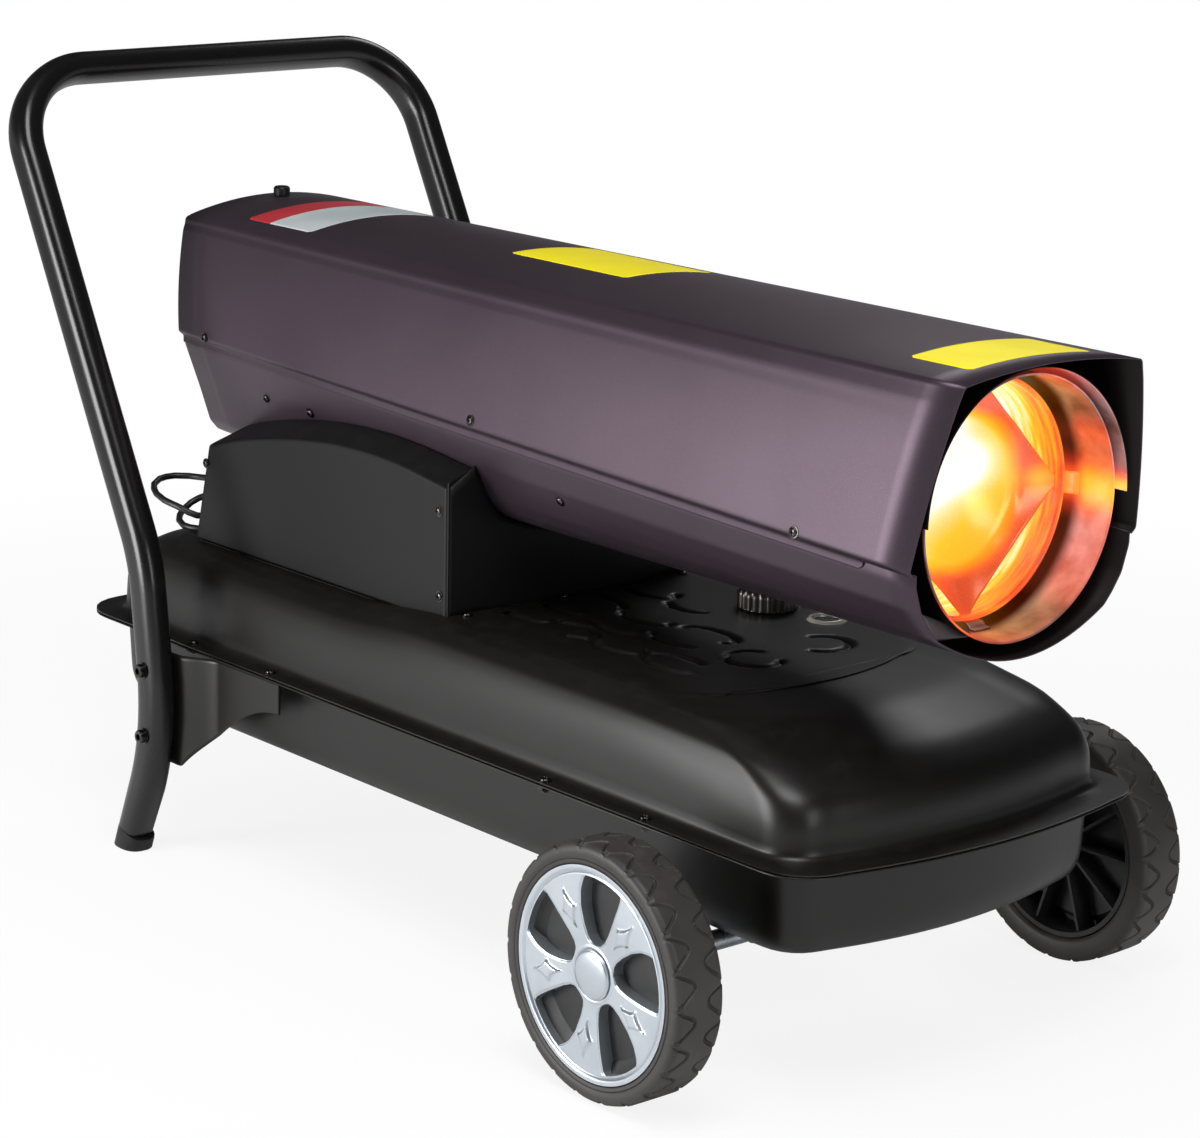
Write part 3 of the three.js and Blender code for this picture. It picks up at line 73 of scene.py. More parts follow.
def unit(vectors: Array) -> Array:
    """Vectors scaled to length one along the last axis."""
    return vectors / np.maximum(np.linalg.norm(vectors, axis=-1, keepdims=True), 1e-12)


def mixed(a: Number, b: Number, t: Number) -> Array:
    """The point a share t of the way from a to b."""
    return a + (np.asarray(b) - a) * t


def eased(t: Number) -> Array:
    """Zero to one with level ends: t * t * (3 - 2 t), held to its range."""
    t = np.clip(t, 0.0, 1.0)
    return t * t * (3.0 - 2.0 * t)


def linear(code: int) -> Rgba:
    """A display colour written as 0xRRGGBB in the linear values that shaders use."""
    parts = [((code >> shift) & 255) / 255.0 for shift in (16, 8, 0)]
    lin = [c / 12.92 if c <= 0.04045 else ((c + 0.055) / 1.055) ** 2.4 for c in parts]
    return (lin[0], lin[1], lin[2], 1.0)


def bent(points: Array, radius: float, count: int, closed: bool = False) -> Array:
    """Rounds the corners of a line, or of a stack of lines, as sheet is rounded where it is bent.

    The line is laid out again in equal steps of its mean length, and each point becomes the
    cosine-weighted mean of its neighbours within the radius. The ends stay where they are.

    Args:
        points: Array (n, ..., k), a line along the first axis.
        radius: Reach of the rounding in the units of the points.
        count: Number of points wanted.
        closed: True if the line returns to its start.

    Returns:
        Array (count, ..., k).
    """
    line = np.asarray(points, float)
    if closed:
        line = np.concatenate([line, line[:1]])
    steps = np.linalg.norm(np.diff(line, axis=0), axis=-1)
    steps = steps.reshape(len(steps), -1).mean(axis=1) + 1e-9
    along = np.concatenate([[0.0], np.cumsum(steps)])
    total = along[-1]
    want = np.linspace(0.0, total, count, endpoint=not closed)
    low = np.clip(np.searchsorted(along, want, "right") - 1, 0, len(line) - 2)
    share = (want - along[low]) / (along[low + 1] - along[low])
    share = share.reshape((-1,) + (1,) * (line.ndim - 1))
    fine = line[low] + (line[low + 1] - line[low]) * share
    reach = int(np.clip(round(radius / (total / count)), 1, count - 2))
    kernel = np.hanning(2 * reach + 3)[1:-1]
    kernel = kernel / kernel.sum()
    if closed:
        padded = np.concatenate([fine[-reach:], fine, fine[:reach]])
    else:
        head = 2 * fine[:1] - fine[reach:0:-1]
        tail = 2 * fine[-1:] - fine[-2:-reach - 2:-1]
        padded = np.concatenate([head, fine, tail])
    return sum(w * padded[i:i + count] for i, w in enumerate(kernel))


def fillet(a: Array, b: Array, c: Array, radius: float, steps: int) -> Array:
    """The arc of a given radius that rounds the corner a-b-c, as steps + 1 points."""
    to_a, to_c = unit(a - b), unit(c - b)
    half = math.acos(float(np.clip(to_a @ to_c, -1, 1))) / 2
    reach = radius / math.tan(half)
    centre = b + unit(to_a + to_c) * radius / math.sin(half)
    start, end = b + to_a * reach - centre, b + to_c * reach - centre
    sweep = math.acos(float(np.clip(unit(start) @ unit(end), -1, 1)))
    side = np.cross(unit(np.cross(start, end)), start)
    turn = np.linspace(0.0, sweep, steps + 1)[:, None]
    return centre + start * np.cos(turn) + side * np.sin(turn)


def around(count: int) -> Array:
    """Equal angles once round, as a column."""
    return np.linspace(0.0, 2 * np.pi, count, endpoint=False)[:, None]


def joined(x: Number, y: Number, z: Number) -> Array:
    """Points from three coordinates, each first widened to the shape that they share."""
    return np.stack(np.broadcast_arrays(x, y, z), axis=-1)


def spun(radius: Array, angle: Array, height: Number) -> Array:
    """Points at a radius and an angle round an axis, and at a height along it."""
    return joined(radius * np.cos(angle), radius * np.sin(angle), height)


def fluted(profile: Array, sides: int, band: Array, depth: float, flutes: int, power: int) -> Array:
    """A turned profile with grip flutes, each depth * (0.5 + 0.5 cos(flutes * angle))^power deep.

    Args:
        profile: Array (n, 2) of radius and height.
        sides: Number of angles.
        band: Which points of the profile carry the flutes.
        depth: Depth of a flute in millimetres.
        flutes: Number of flutes round the axis.
        power: Narrows the flutes as it grows.

    Returns:
        Array (sides, n, 3) of local points.
    """
    angle = around(sides)
    dip = np.where(band, depth * (0.5 + 0.5 * np.cos(flutes * angle)) ** power, 0.0)
    return spun(profile[None, :, 0] - dip, angle, profile[None, :, 1])


# ------------------------------------------------------------------ shader arithmetic
class Wire:
    """A shader socket in Python arithmetic: each operation on it adds the Math node that does it."""

    def __init__(self, nodes: "Nodes", socket: bpy.types.NodeSocket) -> None:
        """Keeps the socket and the node tree it belongs to."""
        self.nodes = nodes
        self.socket = socket

    def __add__(self, other: "Value") -> "Wire":
        """Sum."""
        return self.nodes.math("ADD", self, other)

    def __sub__(self, other: "Value") -> "Wire":
        """Difference."""
        return self.nodes.math("SUBTRACT", self, other)

    def __rsub__(self, other: "Value") -> "Wire":
        """Difference from a number."""
        return self.nodes.math("SUBTRACT", other, self)

    def __mul__(self, other: "Value") -> "Wire":
        """Product."""
        return self.nodes.math("MULTIPLY", self, other)

    def __truediv__(self, other: "Value") -> "Wire":
        """Quotient."""
        return self.nodes.math("DIVIDE", self, other)

    __radd__ = __add__
    __rmul__ = __mul__

    def within(self, low: float, high: float) -> "Wire":
        """Zero at low and below, one at high and above, with a soft passage between."""
        t = self.nodes.math("ADD", (self - low) / (high - low), 0.0, clamp=True)
        return t * t * (3.0 - 2.0 * t)

    def maximum(self, other: "Value") -> "Wire":
        """The larger of two values."""
        return self.nodes.math("MAXIMUM", self, other)


Value = Union[Wire, float, int]


class Nodes:
    """A node tree that grows by arithmetic on its wires."""

    def __init__(self, tree: bpy.types.NodeTree) -> None:
        """Takes over a tree."""
        self.tree = tree

    def feed(self, socket: bpy.types.NodeSocket, value: object) -> None:
        """Links a wire to a socket, or sets its number, colour or vector."""
        if isinstance(value, Wire):
            self.tree.links.new(value.socket, socket)
        else:
            socket.default_value = value

    def node(self, kind: str, settings: Optional[dict] = None, values: Optional[dict] = None,
             out: Union[int, str] = 0) -> Wire:
        """Adds a node.

        Args:
            kind: Node type.
            settings: Properties set first; "stops" are a ramp's positions and colours.
            values: Input socket, by name or index, to a wire or a plain value.
            out: Output socket wanted.

        Returns:
            The output as a wire.
        """
        made = self.tree.nodes.new(kind)
        for key, value in (settings or {}).items():
            if key == "stops":
                self._stops(made.color_ramp, value)
            else:
                setattr(made, key, value)
        for key, value in (values or {}).items():
            self.feed(made.inputs[key], value)
        return Wire(self, made.outputs[out])

    @staticmethod
    def _stops(ramp: bpy.types.ColorRamp, stops: Sequence[tuple[float, Sequence[float]]]) -> None:
        """Gives a ramp its positions and colours."""
        for _ in range(len(stops) - len(ramp.elements)):
            ramp.elements.new(0.5)
        for element, (position, colour) in zip(ramp.elements, stops):
            element.position = position
            element.color = colour

    def math(self, operation: str, a: Value, b: Value, clamp: bool = False) -> Wire:
        """A Math node on two values."""
        return self.node("ShaderNodeMath", {"operation": operation, "use_clamp": clamp}, {0: a, 1: b})

    def mix(self, factor: Value, a: object, b: object) -> Wire:
        """A colour between a and b."""
        return self.node("ShaderNodeMix", {"data_type": "RGBA"}, {0: factor, 6: a, 7: b}, 2)

    def place(self) -> Wire:
        """Object coordinates, which are metres of the shared frame."""
        return self.node("ShaderNodeTexCoord", out="Object")

    def axes(self, vector: Wire) -> tuple[Wire, Wire, Wire]:
        """The three numbers of a vector."""
        split = self.node("ShaderNodeSeparateXYZ", values={0: vector})
        return tuple(Wire(self, split.socket.node.outputs[k]) for k in range(3))

    def noise(self, scale: float, detail: float = 2.0, stretch: Triple = EVEN, rough: float = 0.5) -> Wire:
        """Soft noise of a scale per metre, drawn out by the stretch."""
        at = self.node("ShaderNodeVectorMath", {"operation": "MULTIPLY"}, {0: self.place(), 1: stretch})
        return self.node("ShaderNodeTexNoise", values={"Vector": at, "Scale": scale, "Detail": detail,
                                                       "Roughness": rough})

    def relief(self, height: Wire, depth: float) -> Wire:
        """A normal that stands for a relief of that many millimetres."""
        return self.node("ShaderNodeBump", values={"Strength": 1.0, "Distance": depth * MM, "Height": height})


class Shade(Nodes):
    """One material in the making: its node tree and the principled shader that ends it."""

    def __init__(self, name: str) -> None:
        """Starts an empty material with its principled shader."""
        self.material = bpy.data.materials.new(name)
        self.material.use_nodes = True
        super().__init__(self.material.node_tree)
        self.shader = self.tree.nodes["Principled BSDF"]

    def surface(self, **values: object) -> bpy.types.Material:
        """Feeds the principled shader's sockets, named with underscores, and returns the material."""
        for key, value in values.items():
            self.feed(self.shader.inputs[key.replace("_", " ")], value)
        return self.material


# ------------------------------------------------------------------ finishes
FLECK: Rgba = (0.75, 0.72, 0.74, 1.0)
DUST: Rgba = (0.30, 0.28, 0.27, 1.0)
# Painted light: a ramp from the painted glow level to emitted colour, black through red, orange and yellow to white.
PAINTED_GLOW_RAMP = ((0.0, (0.0, 0.0, 0.0, 1.0)), (0.16, (0.05, 0.010, 0.004, 1.0)), (0.32, (0.42, 0.03, 0.012, 1.0)),
             (0.46, (0.95, 0.10, 0.018, 1.0)), (0.60, (1.0, 0.30, 0.006, 1.0)), (0.74, (1.0, 0.58, 0.02, 1.0)),
             (0.87, (1.0, 0.85, 0.36, 1.0)), (1.0, (1.0, 1.0, 0.94, 1.0)))


@dataclass(frozen=True)
class Finish:
    """A paint, plastic, rubber or bare metal: two tones that drift into each other, a range of gloss, a fine
    grain in the surface, and a little dust on what faces up.
    """

    name: str
    tone: int
    drift: int
    metallic: float = 0.0
    gloss: Pair = (0.35, 0.45)
    cloud: float = 12.0
    grain: float = 700.0
    depth: float = 0.012
    speckle: float = 0.0
    dust: float = 0.0
    stretch: Triple = EVEN
    coat: float = 0.0
    specular: float = 0.5

    def material(self) -> bpy.types.Material:
        """Builds the material."""
        s = Shade(self.name)
        cloud = s.noise(self.cloud, 4.0, stretch=self.stretch)
        colour = s.mix(cloud.within(0.3, 0.7), linear(self.tone), linear(self.drift))
        if self.speckle:
            fleck = s.noise(2600.0, 1.0).within(0.62, 0.74) * self.speckle
            colour = s.mix(fleck, colour, FLECK)
        low, high = self.gloss
        rough = low + s.noise(self.cloud * 2.7, 3.0, stretch=self.stretch) * (high - low)
        if self.dust:
            up = s.axes(s.node("ShaderNodeNewGeometry", out="Normal"))[2].within(0.5, 1.0)
            lying = up * s.noise(55.0, 5.0, rough=0.7).within(0.42, 0.8) * self.dust
            colour = s.mix(lying, colour, DUST)
            rough = rough + lying * 0.3
        fine = s.noise(self.grain, 2.0, stretch=self.stretch)
        return s.surface(Base_Color=colour, Roughness=rough, Metallic=self.metallic, Normal=s.relief(fine, self.depth),
                         Specular_IOR_Level=self.specular, Coat_Weight=self.coat, Coat_Roughness=0.12)


@dataclass(frozen=True)
class Glow:
    """Painted light on the steel by the flame: emission paints its glow, the flame light reflected on it and its
    shade.

    The glow level is a base, a slope along the barrel and round spots, stirred by noise; each spot is (across, above
    the axis, reach, gain) in millimetres and adds gain * e^-(distance / reach)^2, painted shade where the gain is
    negative. The rim is (inner radius, outer radius, gain), and dark is a painted shade colour that the steel takes
    where the slope begins.
    """

    name: str
    steel: int
    level: float
    spots: tuple[Spot, ...] = ()
    slope: Triple = (0.0, 1.0, 0.0)
    rim: Triple = (1.0, 2.0, 0.0)
    dark: Optional[int] = None
    stir: float = 0.08
    scale: float = 18.0
    stretch: Triple = EVEN
    strength: float = 1.0
    gloss: float = 0.3
    metallic: float = 0.7

    def material(self) -> bpy.types.Material:
        """Builds the material: a ramp turns the painted glow level into the colour of the emitted light."""
        s = Shade(self.name)
        x, y, z = s.axes(s.place())
        along = x.within((self.slope[0] + AXLE_SHIFT) * MM, (self.slope[1] + AXLE_SHIFT) * MM)
        painted_glow = along * self.slope[2] + self.level
        above = z - BARREL_AXIS * MM
        inner, outer, rim_gain = self.rim
        painted_glow = painted_glow + (y * y + above * above).within((inner * MM) ** 2, (outer * MM) ** 2) * rim_gain
        # Each spot is a patch of painted light, or of painted shade where its gain is negative.
        for across, height, reach, gain in self.spots:
            dy = (y - across * MM) * (1000.0 / reach)
            dz = (z - (BARREL_AXIS + height) * MM) * (1000.0 / reach)
            painted_glow = painted_glow + s.math("EXPONENT", 0.0 - (dy * dy + dz * dz), 0.0) * gain
        stirred = s.noise(self.scale, 3.0, stretch=self.stretch) - 0.5
        painted_glow = painted_glow + stirred * (2.0 * self.stir)
        glow = s.node("ShaderNodeValToRGB", {"stops": PAINTED_GLOW_RAMP}, {0: painted_glow})
        tint = s.mix(s.noise(30.0, 4.0).within(0.3, 0.7), linear(self.steel), linear(0x6b5a55))
        # Painted shade: where the slope begins the steel takes the dark colour.
        if self.dark is not None:
            tint = s.mix(along, linear(self.dark), tint)
        fine = s.noise(420.0, 2.0, stretch=(0.25, 1.0, 1.0))
        return s.surface(Base_Color=tint, Metallic=self.metallic, Roughness=self.gloss + fine * 0.12,
                         Normal=s.relief(fine, 0.02), Emission_Color=glow, Emission_Strength=self.strength)


class Paint(Enum):
    """The finishes of this heater, by what they cover."""

    BARREL = Finish("barrel_powder_coat", 0x483c45, 0x4d414a, metallic=0.7, gloss=(0.36, 0.44), cloud=5.0,
                    grain=950.0, depth=0.022, speckle=0.08, dust=0.03, specular=0.3)
    # Near black on the sheets' inner faces and hidden backs.
    INSIDE = Finish("near_black_inside", 0x120c0d, 0x1a1213, metallic=0.2, gloss=(0.5, 0.62), cloud=14.0, grain=700.0,
                    depth=0.02, specular=0.25)
    TANK = Finish("tank_enamel", 0x100e0c, 0x13110f, gloss=(0.34, 0.40), cloud=4.0, grain=620.0, depth=0.012,
                  dust=0.02, specular=0.38)
    HOUSING = Finish("housing_powder_coat", 0x0d0d0d, 0x101010, gloss=(0.44, 0.52), cloud=7.0, grain=1100.0,
                     depth=0.03, dust=0.02, specular=0.22)
    HANDLE = Finish("handle_enamel", 0x0b0a0a, 0x0e0d0d, gloss=(0.24, 0.30), cloud=6.0, grain=300.0, depth=0.01,
                    coat=0.15, dust=0.02, specular=0.4)
    SCREW = Finish("blackened_screw", 0x5a5754, 0x3e3c3a, metallic=1.0, gloss=(0.16, 0.3), cloud=120.0, grain=1800.0,
                   depth=0.01)
    ZINC = Finish("zinc_plate", 0xaeb5ba, 0x8f979d, metallic=0.95, gloss=(0.22, 0.34), cloud=60.0, grain=1200.0,
                  depth=0.01, stretch=(0.4, 1.0, 1.0))
    GREY_STEEL = Finish("grey_steel_sheet", 0x66676a, 0x58595c, metallic=0.5, gloss=(0.4, 0.5), cloud=40.0,
                        grain=900.0, depth=0.015)
    CHROME = Finish("chrome_plate", 0xd8dadb, 0xc2c6c8, metallic=1.0, gloss=(0.06, 0.12), cloud=40.0, grain=900.0,
                    depth=0.004)
    # Painted shade: a plated cap toned dark and dull for the shade it lies in under the barrel.
    CAP_METAL = Finish("cap_metal_painted_shade", 0x5d5955, 0x45423f, metallic=0.9, gloss=(0.3, 0.4), cloud=60.0,
                       grain=1200.0, depth=0.01)
    BEZEL = Finish("gauge_bezel_plate", 0xcfcabb, 0xb9b4a6, metallic=0.3, gloss=(0.2, 0.3), cloud=60.0, grain=900.0,
                   depth=0.006)
    SILVER = Finish("silver_trim", 0xc2c9cf, 0xb8bfc6, metallic=0.85, gloss=(0.26, 0.33), cloud=20.0, grain=900.0,
                    depth=0.006, speckle=0.05, dust=0.02)
    PLASTIC = Finish("moulded_plastic_black", 0x0d0c0c, 0x121111, gloss=(0.4, 0.5), cloud=25.0, grain=500.0,
                     depth=0.006, specular=0.3)
    RUBBER = Finish("tyre_rubber", 0x302d2b, 0x373431, gloss=(0.44, 0.56), cloud=22.0, grain=900.0, depth=0.03,
                    dust=0.08, specular=0.4)
    CORD = Finish("cord_rubber", 0x0e0e0f, 0x151516, gloss=(0.38, 0.48), cloud=40.0, grain=1300.0, depth=0.02)
    BRASS = Finish("turned_brass", 0xb08d4a, 0x9c7a3c, metallic=0.95, gloss=(0.25, 0.4), cloud=60.0,
                   grain=1100.0, depth=0.01)
    CAST = Finish("cast_aluminium", 0x9b9ea1, 0x85898d, metallic=0.85, gloss=(0.4, 0.55), cloud=50.0, grain=700.0,
                  depth=0.05)
    BOARD = Finish("circuit_board", 0x1f5a34, 0x184a2b, gloss=(0.35, 0.5), cloud=50.0, grain=900.0, depth=0.02)
    CERAMIC = Finish("white_ceramic", 0xe8e4da, 0xdcd7cb, gloss=(0.2, 0.3), cloud=50.0, grain=900.0, depth=0.01)
    DARK_CORE = Finish("wheel_core_plastic", 0x141415, 0x1e1e1f, gloss=(0.45, 0.6), cloud=30.0, grain=1000.0,
                       depth=0.03, dust=0.05)
    LABEL_YELLOW = Finish("blank_label_yellow", 0xf0e000, 0xe9d800, gloss=(0.42, 0.5), cloud=20.0, grain=600.0,
                          depth=0.008, specular=0.3)
    LABEL_GREY = Finish("blank_label_grey", 0xb9c0c0, 0xaab2b3, gloss=(0.3, 0.38), cloud=20.0, grain=600.0,
                        depth=0.008, specular=0.3)
    LABEL_RED = Finish("blank_label_red", 0xb3323a, 0xa52b33, gloss=(0.3, 0.38), cloud=20.0, grain=600.0,
                       depth=0.008, specular=0.3)
    MARK = Finish("printed_mark", 0xd9dadb, 0xcfd0d1, gloss=(0.45, 0.5), cloud=20.0, grain=600.0, depth=0.004)
    # Painted light: emission paints the flame's glow, with bright patches and streak highlights, on the chamber, the
    # deflector and its tabs.
    CHAMBER = Glow("chamber_steel", 0x7a4a30, 0.80, ((-55, 45, 60, 0.30), (-70, -40, 40, 0.20), (60, 50, 30, 0.10)),
                   slope=(78.0, 105.0, -0.30), stir=0.34, scale=22.0, stretch=(9.0, 1.0, 1.0), gloss=0.2)
    STAR = Glow("deflector_steel", 0xa0623a, 0.70,
                ((-28, 44, 28, 0.66), (-6, 14, 30, 0.66), (26, 14, 18, 0.36), (-44, 2, 26, 0.56), (78, 2, 14, 0.26),
                 (-56, -44, 26, 0.12), (8, -62, 24, -0.02), (4, 80, 12, -0.05)),
                stir=0.05, scale=12.0, rim=(52.0, 68.0, -0.30), gloss=0.2)
    TAB = Glow("bridge_steel", 0xb9a6a6, 0.06, ((96, 0, 30, 0.55), (0, 96, 30, 0.3)), stir=0.04, strength=0.9)
    # Painted light: the liner's and the shield's emission paints flame light reflected on them, and the liner's dark
    # colour paints the shade next to the chamber's lip.
    LINER = Glow("liner_steel", 0xb09da4, -0.10,
                 ((101, 0, 24, 0.62), (90, 44, 18, 0.26), (84, -44, 24, 0.26), (66, -72, 20, 0.20),
                  (34, 92, 30, 0.24), (-4, -100, 30, 0.14), (-60, -78, 30, 0.4)),
                 slope=(114.0, 130.0, 0.20), dark=0x30130a, stir=0.07, scale=22.0, stretch=(0.5, 1.0, 1.0),
                 gloss=0.26, metallic=0.8)
    SHIELD = Glow("shield_steel", 0xd0bac2, 0.16, ((104, 2, 12, 0.62), (10, 104, 46, 0.26), (92, 52, 22, -0.04)),
                  stir=0.05, strength=0.95, gloss=0.4, metallic=0.35)

    @property
    def made(self) -> bpy.types.Material:
        """The material, built the first time it is asked for."""
        return bpy.data.materials.get(self.value.name) or self.value.material()


# ------------------------------------------------------------------ forms
@dataclass(frozen=True)
class Stance:
    """A place with its outward axis: turned bodies and screws stand on it."""

    at: Triple
    out: Triple = (0.0, 0.0, 1.0)
    up: Triple = (1.0, 0.0, 0.0)

    def basis(self) -> tuple[Array, Array, Array, Array]:
        """Origin, first and second cross axis, outward axis."""
        w = unit(np.array(self.out, float))
        u = np.array(self.up, float)
        u = unit(u - w * (u @ w))
        return np.array(self.at, float), u, np.cross(w, u), w

    def put(self, local: Array) -> Array:
        """Local points (across, across, outwards) in place."""
        origin, u, v, w = self.basis()
        return origin + local[..., :1] * u + local[..., 1:2] * v + local[..., 2:3] * w


class Form:
    """Gathers grids of points, in millimetres from the axle, into one mesh."""

    def __init__(self, name: str) -> None:
        """Starts an empty form with the name of its piece."""
        self.name = name
        self.points: list[Array] = []
        self.quads: list[Array] = []
        self.marks: list[Array] = []
        self.count = 0

    def grid(self, points: Array, wrap_u: bool = False, wrap_v: bool = False, mark: Union[int, Array] = 0,
             keep: Optional[Array] = None) -> "Form":
        """Adds a surface of two parameters.

        Args:
            points: Array (n, m, 3).
            wrap_u: Joins the last row to the first.
            wrap_v: Joins the last column to the first.
            mark: Material index, one or one for each cell.
            keep: Which cells stay, an array of truth values.

        Returns:
            The form itself.
        """
        n, m, _ = points.shape
        index = np.arange(n * m).reshape(n, m) + self.count
        if wrap_u:
            index = np.vstack([index, index[:1]])
        if wrap_v:
            index = np.hstack([index, index[:, :1]])
        cells = np.stack([index[:-1, :-1], index[1:, :-1], index[1:, 1:], index[:-1, 1:]], axis=-1)
        marks = np.broadcast_to(np.asarray(mark), cells.shape[:2]).reshape(-1)
        cells = cells.reshape(-1, 4)
        if keep is not None:
            cells, marks = cells[keep.reshape(-1)], marks[keep.reshape(-1)]
        self.points.append(points.reshape(-1, 3))
        self.quads.append(cells)
        self.marks.append(marks)
        self.count += n * m
        return self

    def turned(self, stance: Stance, profile: Sequence, sides: int, mark: Union[int, Array] = 0) -> "Form":
        """Adds a profile of (radius, height) turned about the stance's outward axis.

        The point at angle a is radius * cos a across, radius * sin a across, and the height outwards.
        """
        profile = np.asarray(profile, float)
        local = spun(profile[None, :, 0], around(sides), profile[None, :, 1])
        return self.grid(stance.put(local), wrap_u=True, mark=mark)

    def tube(self, path: Array, radius: float, sides: int) -> "Form":
        """Adds a round tube along a path, closed at both ends; it never runs straight up."""
        radii = np.full(len(path) + 2, radius)
        radii[[0, -1]] = 0.0
        path = np.concatenate([path[:1], path, path[-1:]])
        tangent = unit(np.gradient(path, axis=0))
        across = unit(np.cross(np.array([0.0, 0.0, 1.0]), tangent))
        up = np.cross(tangent, across)
        a = around(sides)
        ring = across[:, None] * np.cos(a) + up[:, None] * np.sin(a)
        return self.grid(path[:, None] + ring * radii[:, None, None], wrap_v=True)

    def made(self, body: str, paints: Sequence[Paint], slot: str, closed: bool = False, thick: float = 0.0,
             lining: int = 0, crisp: float = 38.0, away: Optional[Sequence[float]] = None,
             replaces: Sequence[str] = ()) -> bpy.types.Object:
        """Makes the mesh, dresses it and sets it on its body.

        Args:
            body: CAD body that it rides on.
            paints: Finishes, in the order of the marks.
            slot: Material slot of the record; not used.
            closed: True if the faces close a volume, so that they can be turned outwards.
            thick: Thickness given to a single surface, inwards, in millimetres.
            lining: Steps in the list of finishes from a face to the one behind it.
            crisp: Angle in degrees above which an edge stays sharp.
            away: For an open surface, the point in millimetres that its faces look away from.
            replaces: CAD nodes that it stands for.

        Returns:
            The finished object.
        """
        mesh = bpy.data.meshes.new(self.name)
        corners, faces = to_frame(np.concatenate(self.points)), np.concatenate(self.quads)
        mesh.from_pydata(corners.tolist(), [], faces.tolist())
        mesh.polygons.foreach_set("material_index", np.concatenate(self.marks).tolist())
        self._tidy(mesh, closed, away)
        mesh.polygons.foreach_set("use_smooth", [True] * len(mesh.polygons))
        mesh.set_sharp_from_angle(angle=math.radians(crisp))
        made = bpy.data.objects.new(self.name, mesh)
        bpy.context.scene.collection.objects.link(made)
        for paint in paints:
            mesh.materials.append(paint.made)
        if thick:
            wall = made.modifiers.new("wall", "SOLIDIFY")
            wall.thickness, wall.offset, wall.use_quality_normals = thick * MM, -1.0, True
            wall.material_offset = lining
        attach(made, body)
        if replaces:
            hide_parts(*replaces)
        LOG.info("%s: %d faces on %s", self.name, len(mesh.polygons), body)
        return made

    @staticmethod
    def _tidy(mesh: bpy.types.Mesh, closed: bool, away: Optional[Sequence[float]]) -> None:
        """Merges doubles and turns the faces outwards, or away from a point."""
        work = bmesh.new()
        work.from_mesh(mesh)
        bmesh.ops.remove_doubles(work, verts=work.verts, dist=MERGE_WITHIN)
        bmesh.ops.dissolve_degenerate(work, edges=work.edges, dist=1e-6)
        if closed:
            bmesh.ops.recalc_face_normals(work, faces=work.faces)
        elif away is not None:
            centre = Vector(to_frame(np.array(away, float)))
            score = sum(f.normal.dot(f.calc_center_median() - centre) * f.calc_area() for f in work.faces)
            if score < 0:
                bmesh.ops.reverse_faces(work, faces=work.faces)
        work.to_mesh(mesh)
        work.free()


CARRIED = {
    Paint.BRASS: ("burner_head", "filler_strainer", "float_arm"),
    Paint.CERAMIC: ("spark_igniter",),
    Paint.PLASTIC: ("photocell", "thermostat_body", "switch_bezel", "ignition_transformer"),
    Paint.CAST: ("fan", "air_pump_cover"),
    Paint.HOUSING: ("motor", "rear_guard", "base_housing"),
    Paint.ZINC: ("motor_bracket", "drain_plug"),
    Paint.CORD: ("fuel_hose", "air_hose"),
    Paint.TANK: ("axle_bracket",),
    Paint.LABEL_RED: ("gauge_needle", "rocker_switch"),
    Paint.BOARD: ("control_board",),
}


def dress() -> None:
    """Gives the CAD nodes that are carried over their finishes."""
    for paint, nodes in CARRIED.items():
        for place in (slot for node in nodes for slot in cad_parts[node].material_slots):
            place.material = paint.made


def screws(name: str, stances: Sequence[Stance], radius: float = 3.6) -> None:
    """Pan head screws with a crossed recess and a washer under each.

    The head is a flattened dome. Its recess is 0.42 radii deep within 0.1 radii of either cross axis and
    0.5 radii of the middle, and eases out beyond.
    """
    form = Form(name)
    washer = 1.35
    r = np.concatenate([np.linspace(0, 0.98, 13), [1.0, 1.0, washer, washer]]) * radius
    a = around(32)
    x, y = r * np.cos(a) / radius, r * np.sin(a) / radius
    dome = 0.62 * radius * np.sqrt(np.clip(1.02 - (r / radius) ** 2, 0.0, 1.0)) * 0.55 + 0.35 * radius
    near, far = np.minimum(np.abs(x), np.abs(y)), np.maximum(np.abs(x), np.abs(y))
    deep = (1 - eased((near - 0.10) / 0.1)) * (1 - eased((far - 0.5) / 0.14))
    h = np.broadcast_to(dome, x.shape) - 0.42 * radius * deep
    h[:, -3], h[:, -2], h[:, -1] = 0.16 * radius, 0.14 * radius, -0.1
    for stance in stances:
        form.grid(stance.put(joined(x * radius, y * radius, h)), wrap_u=True)
    form.made("chassis", [Paint.SCREW], "zinc")


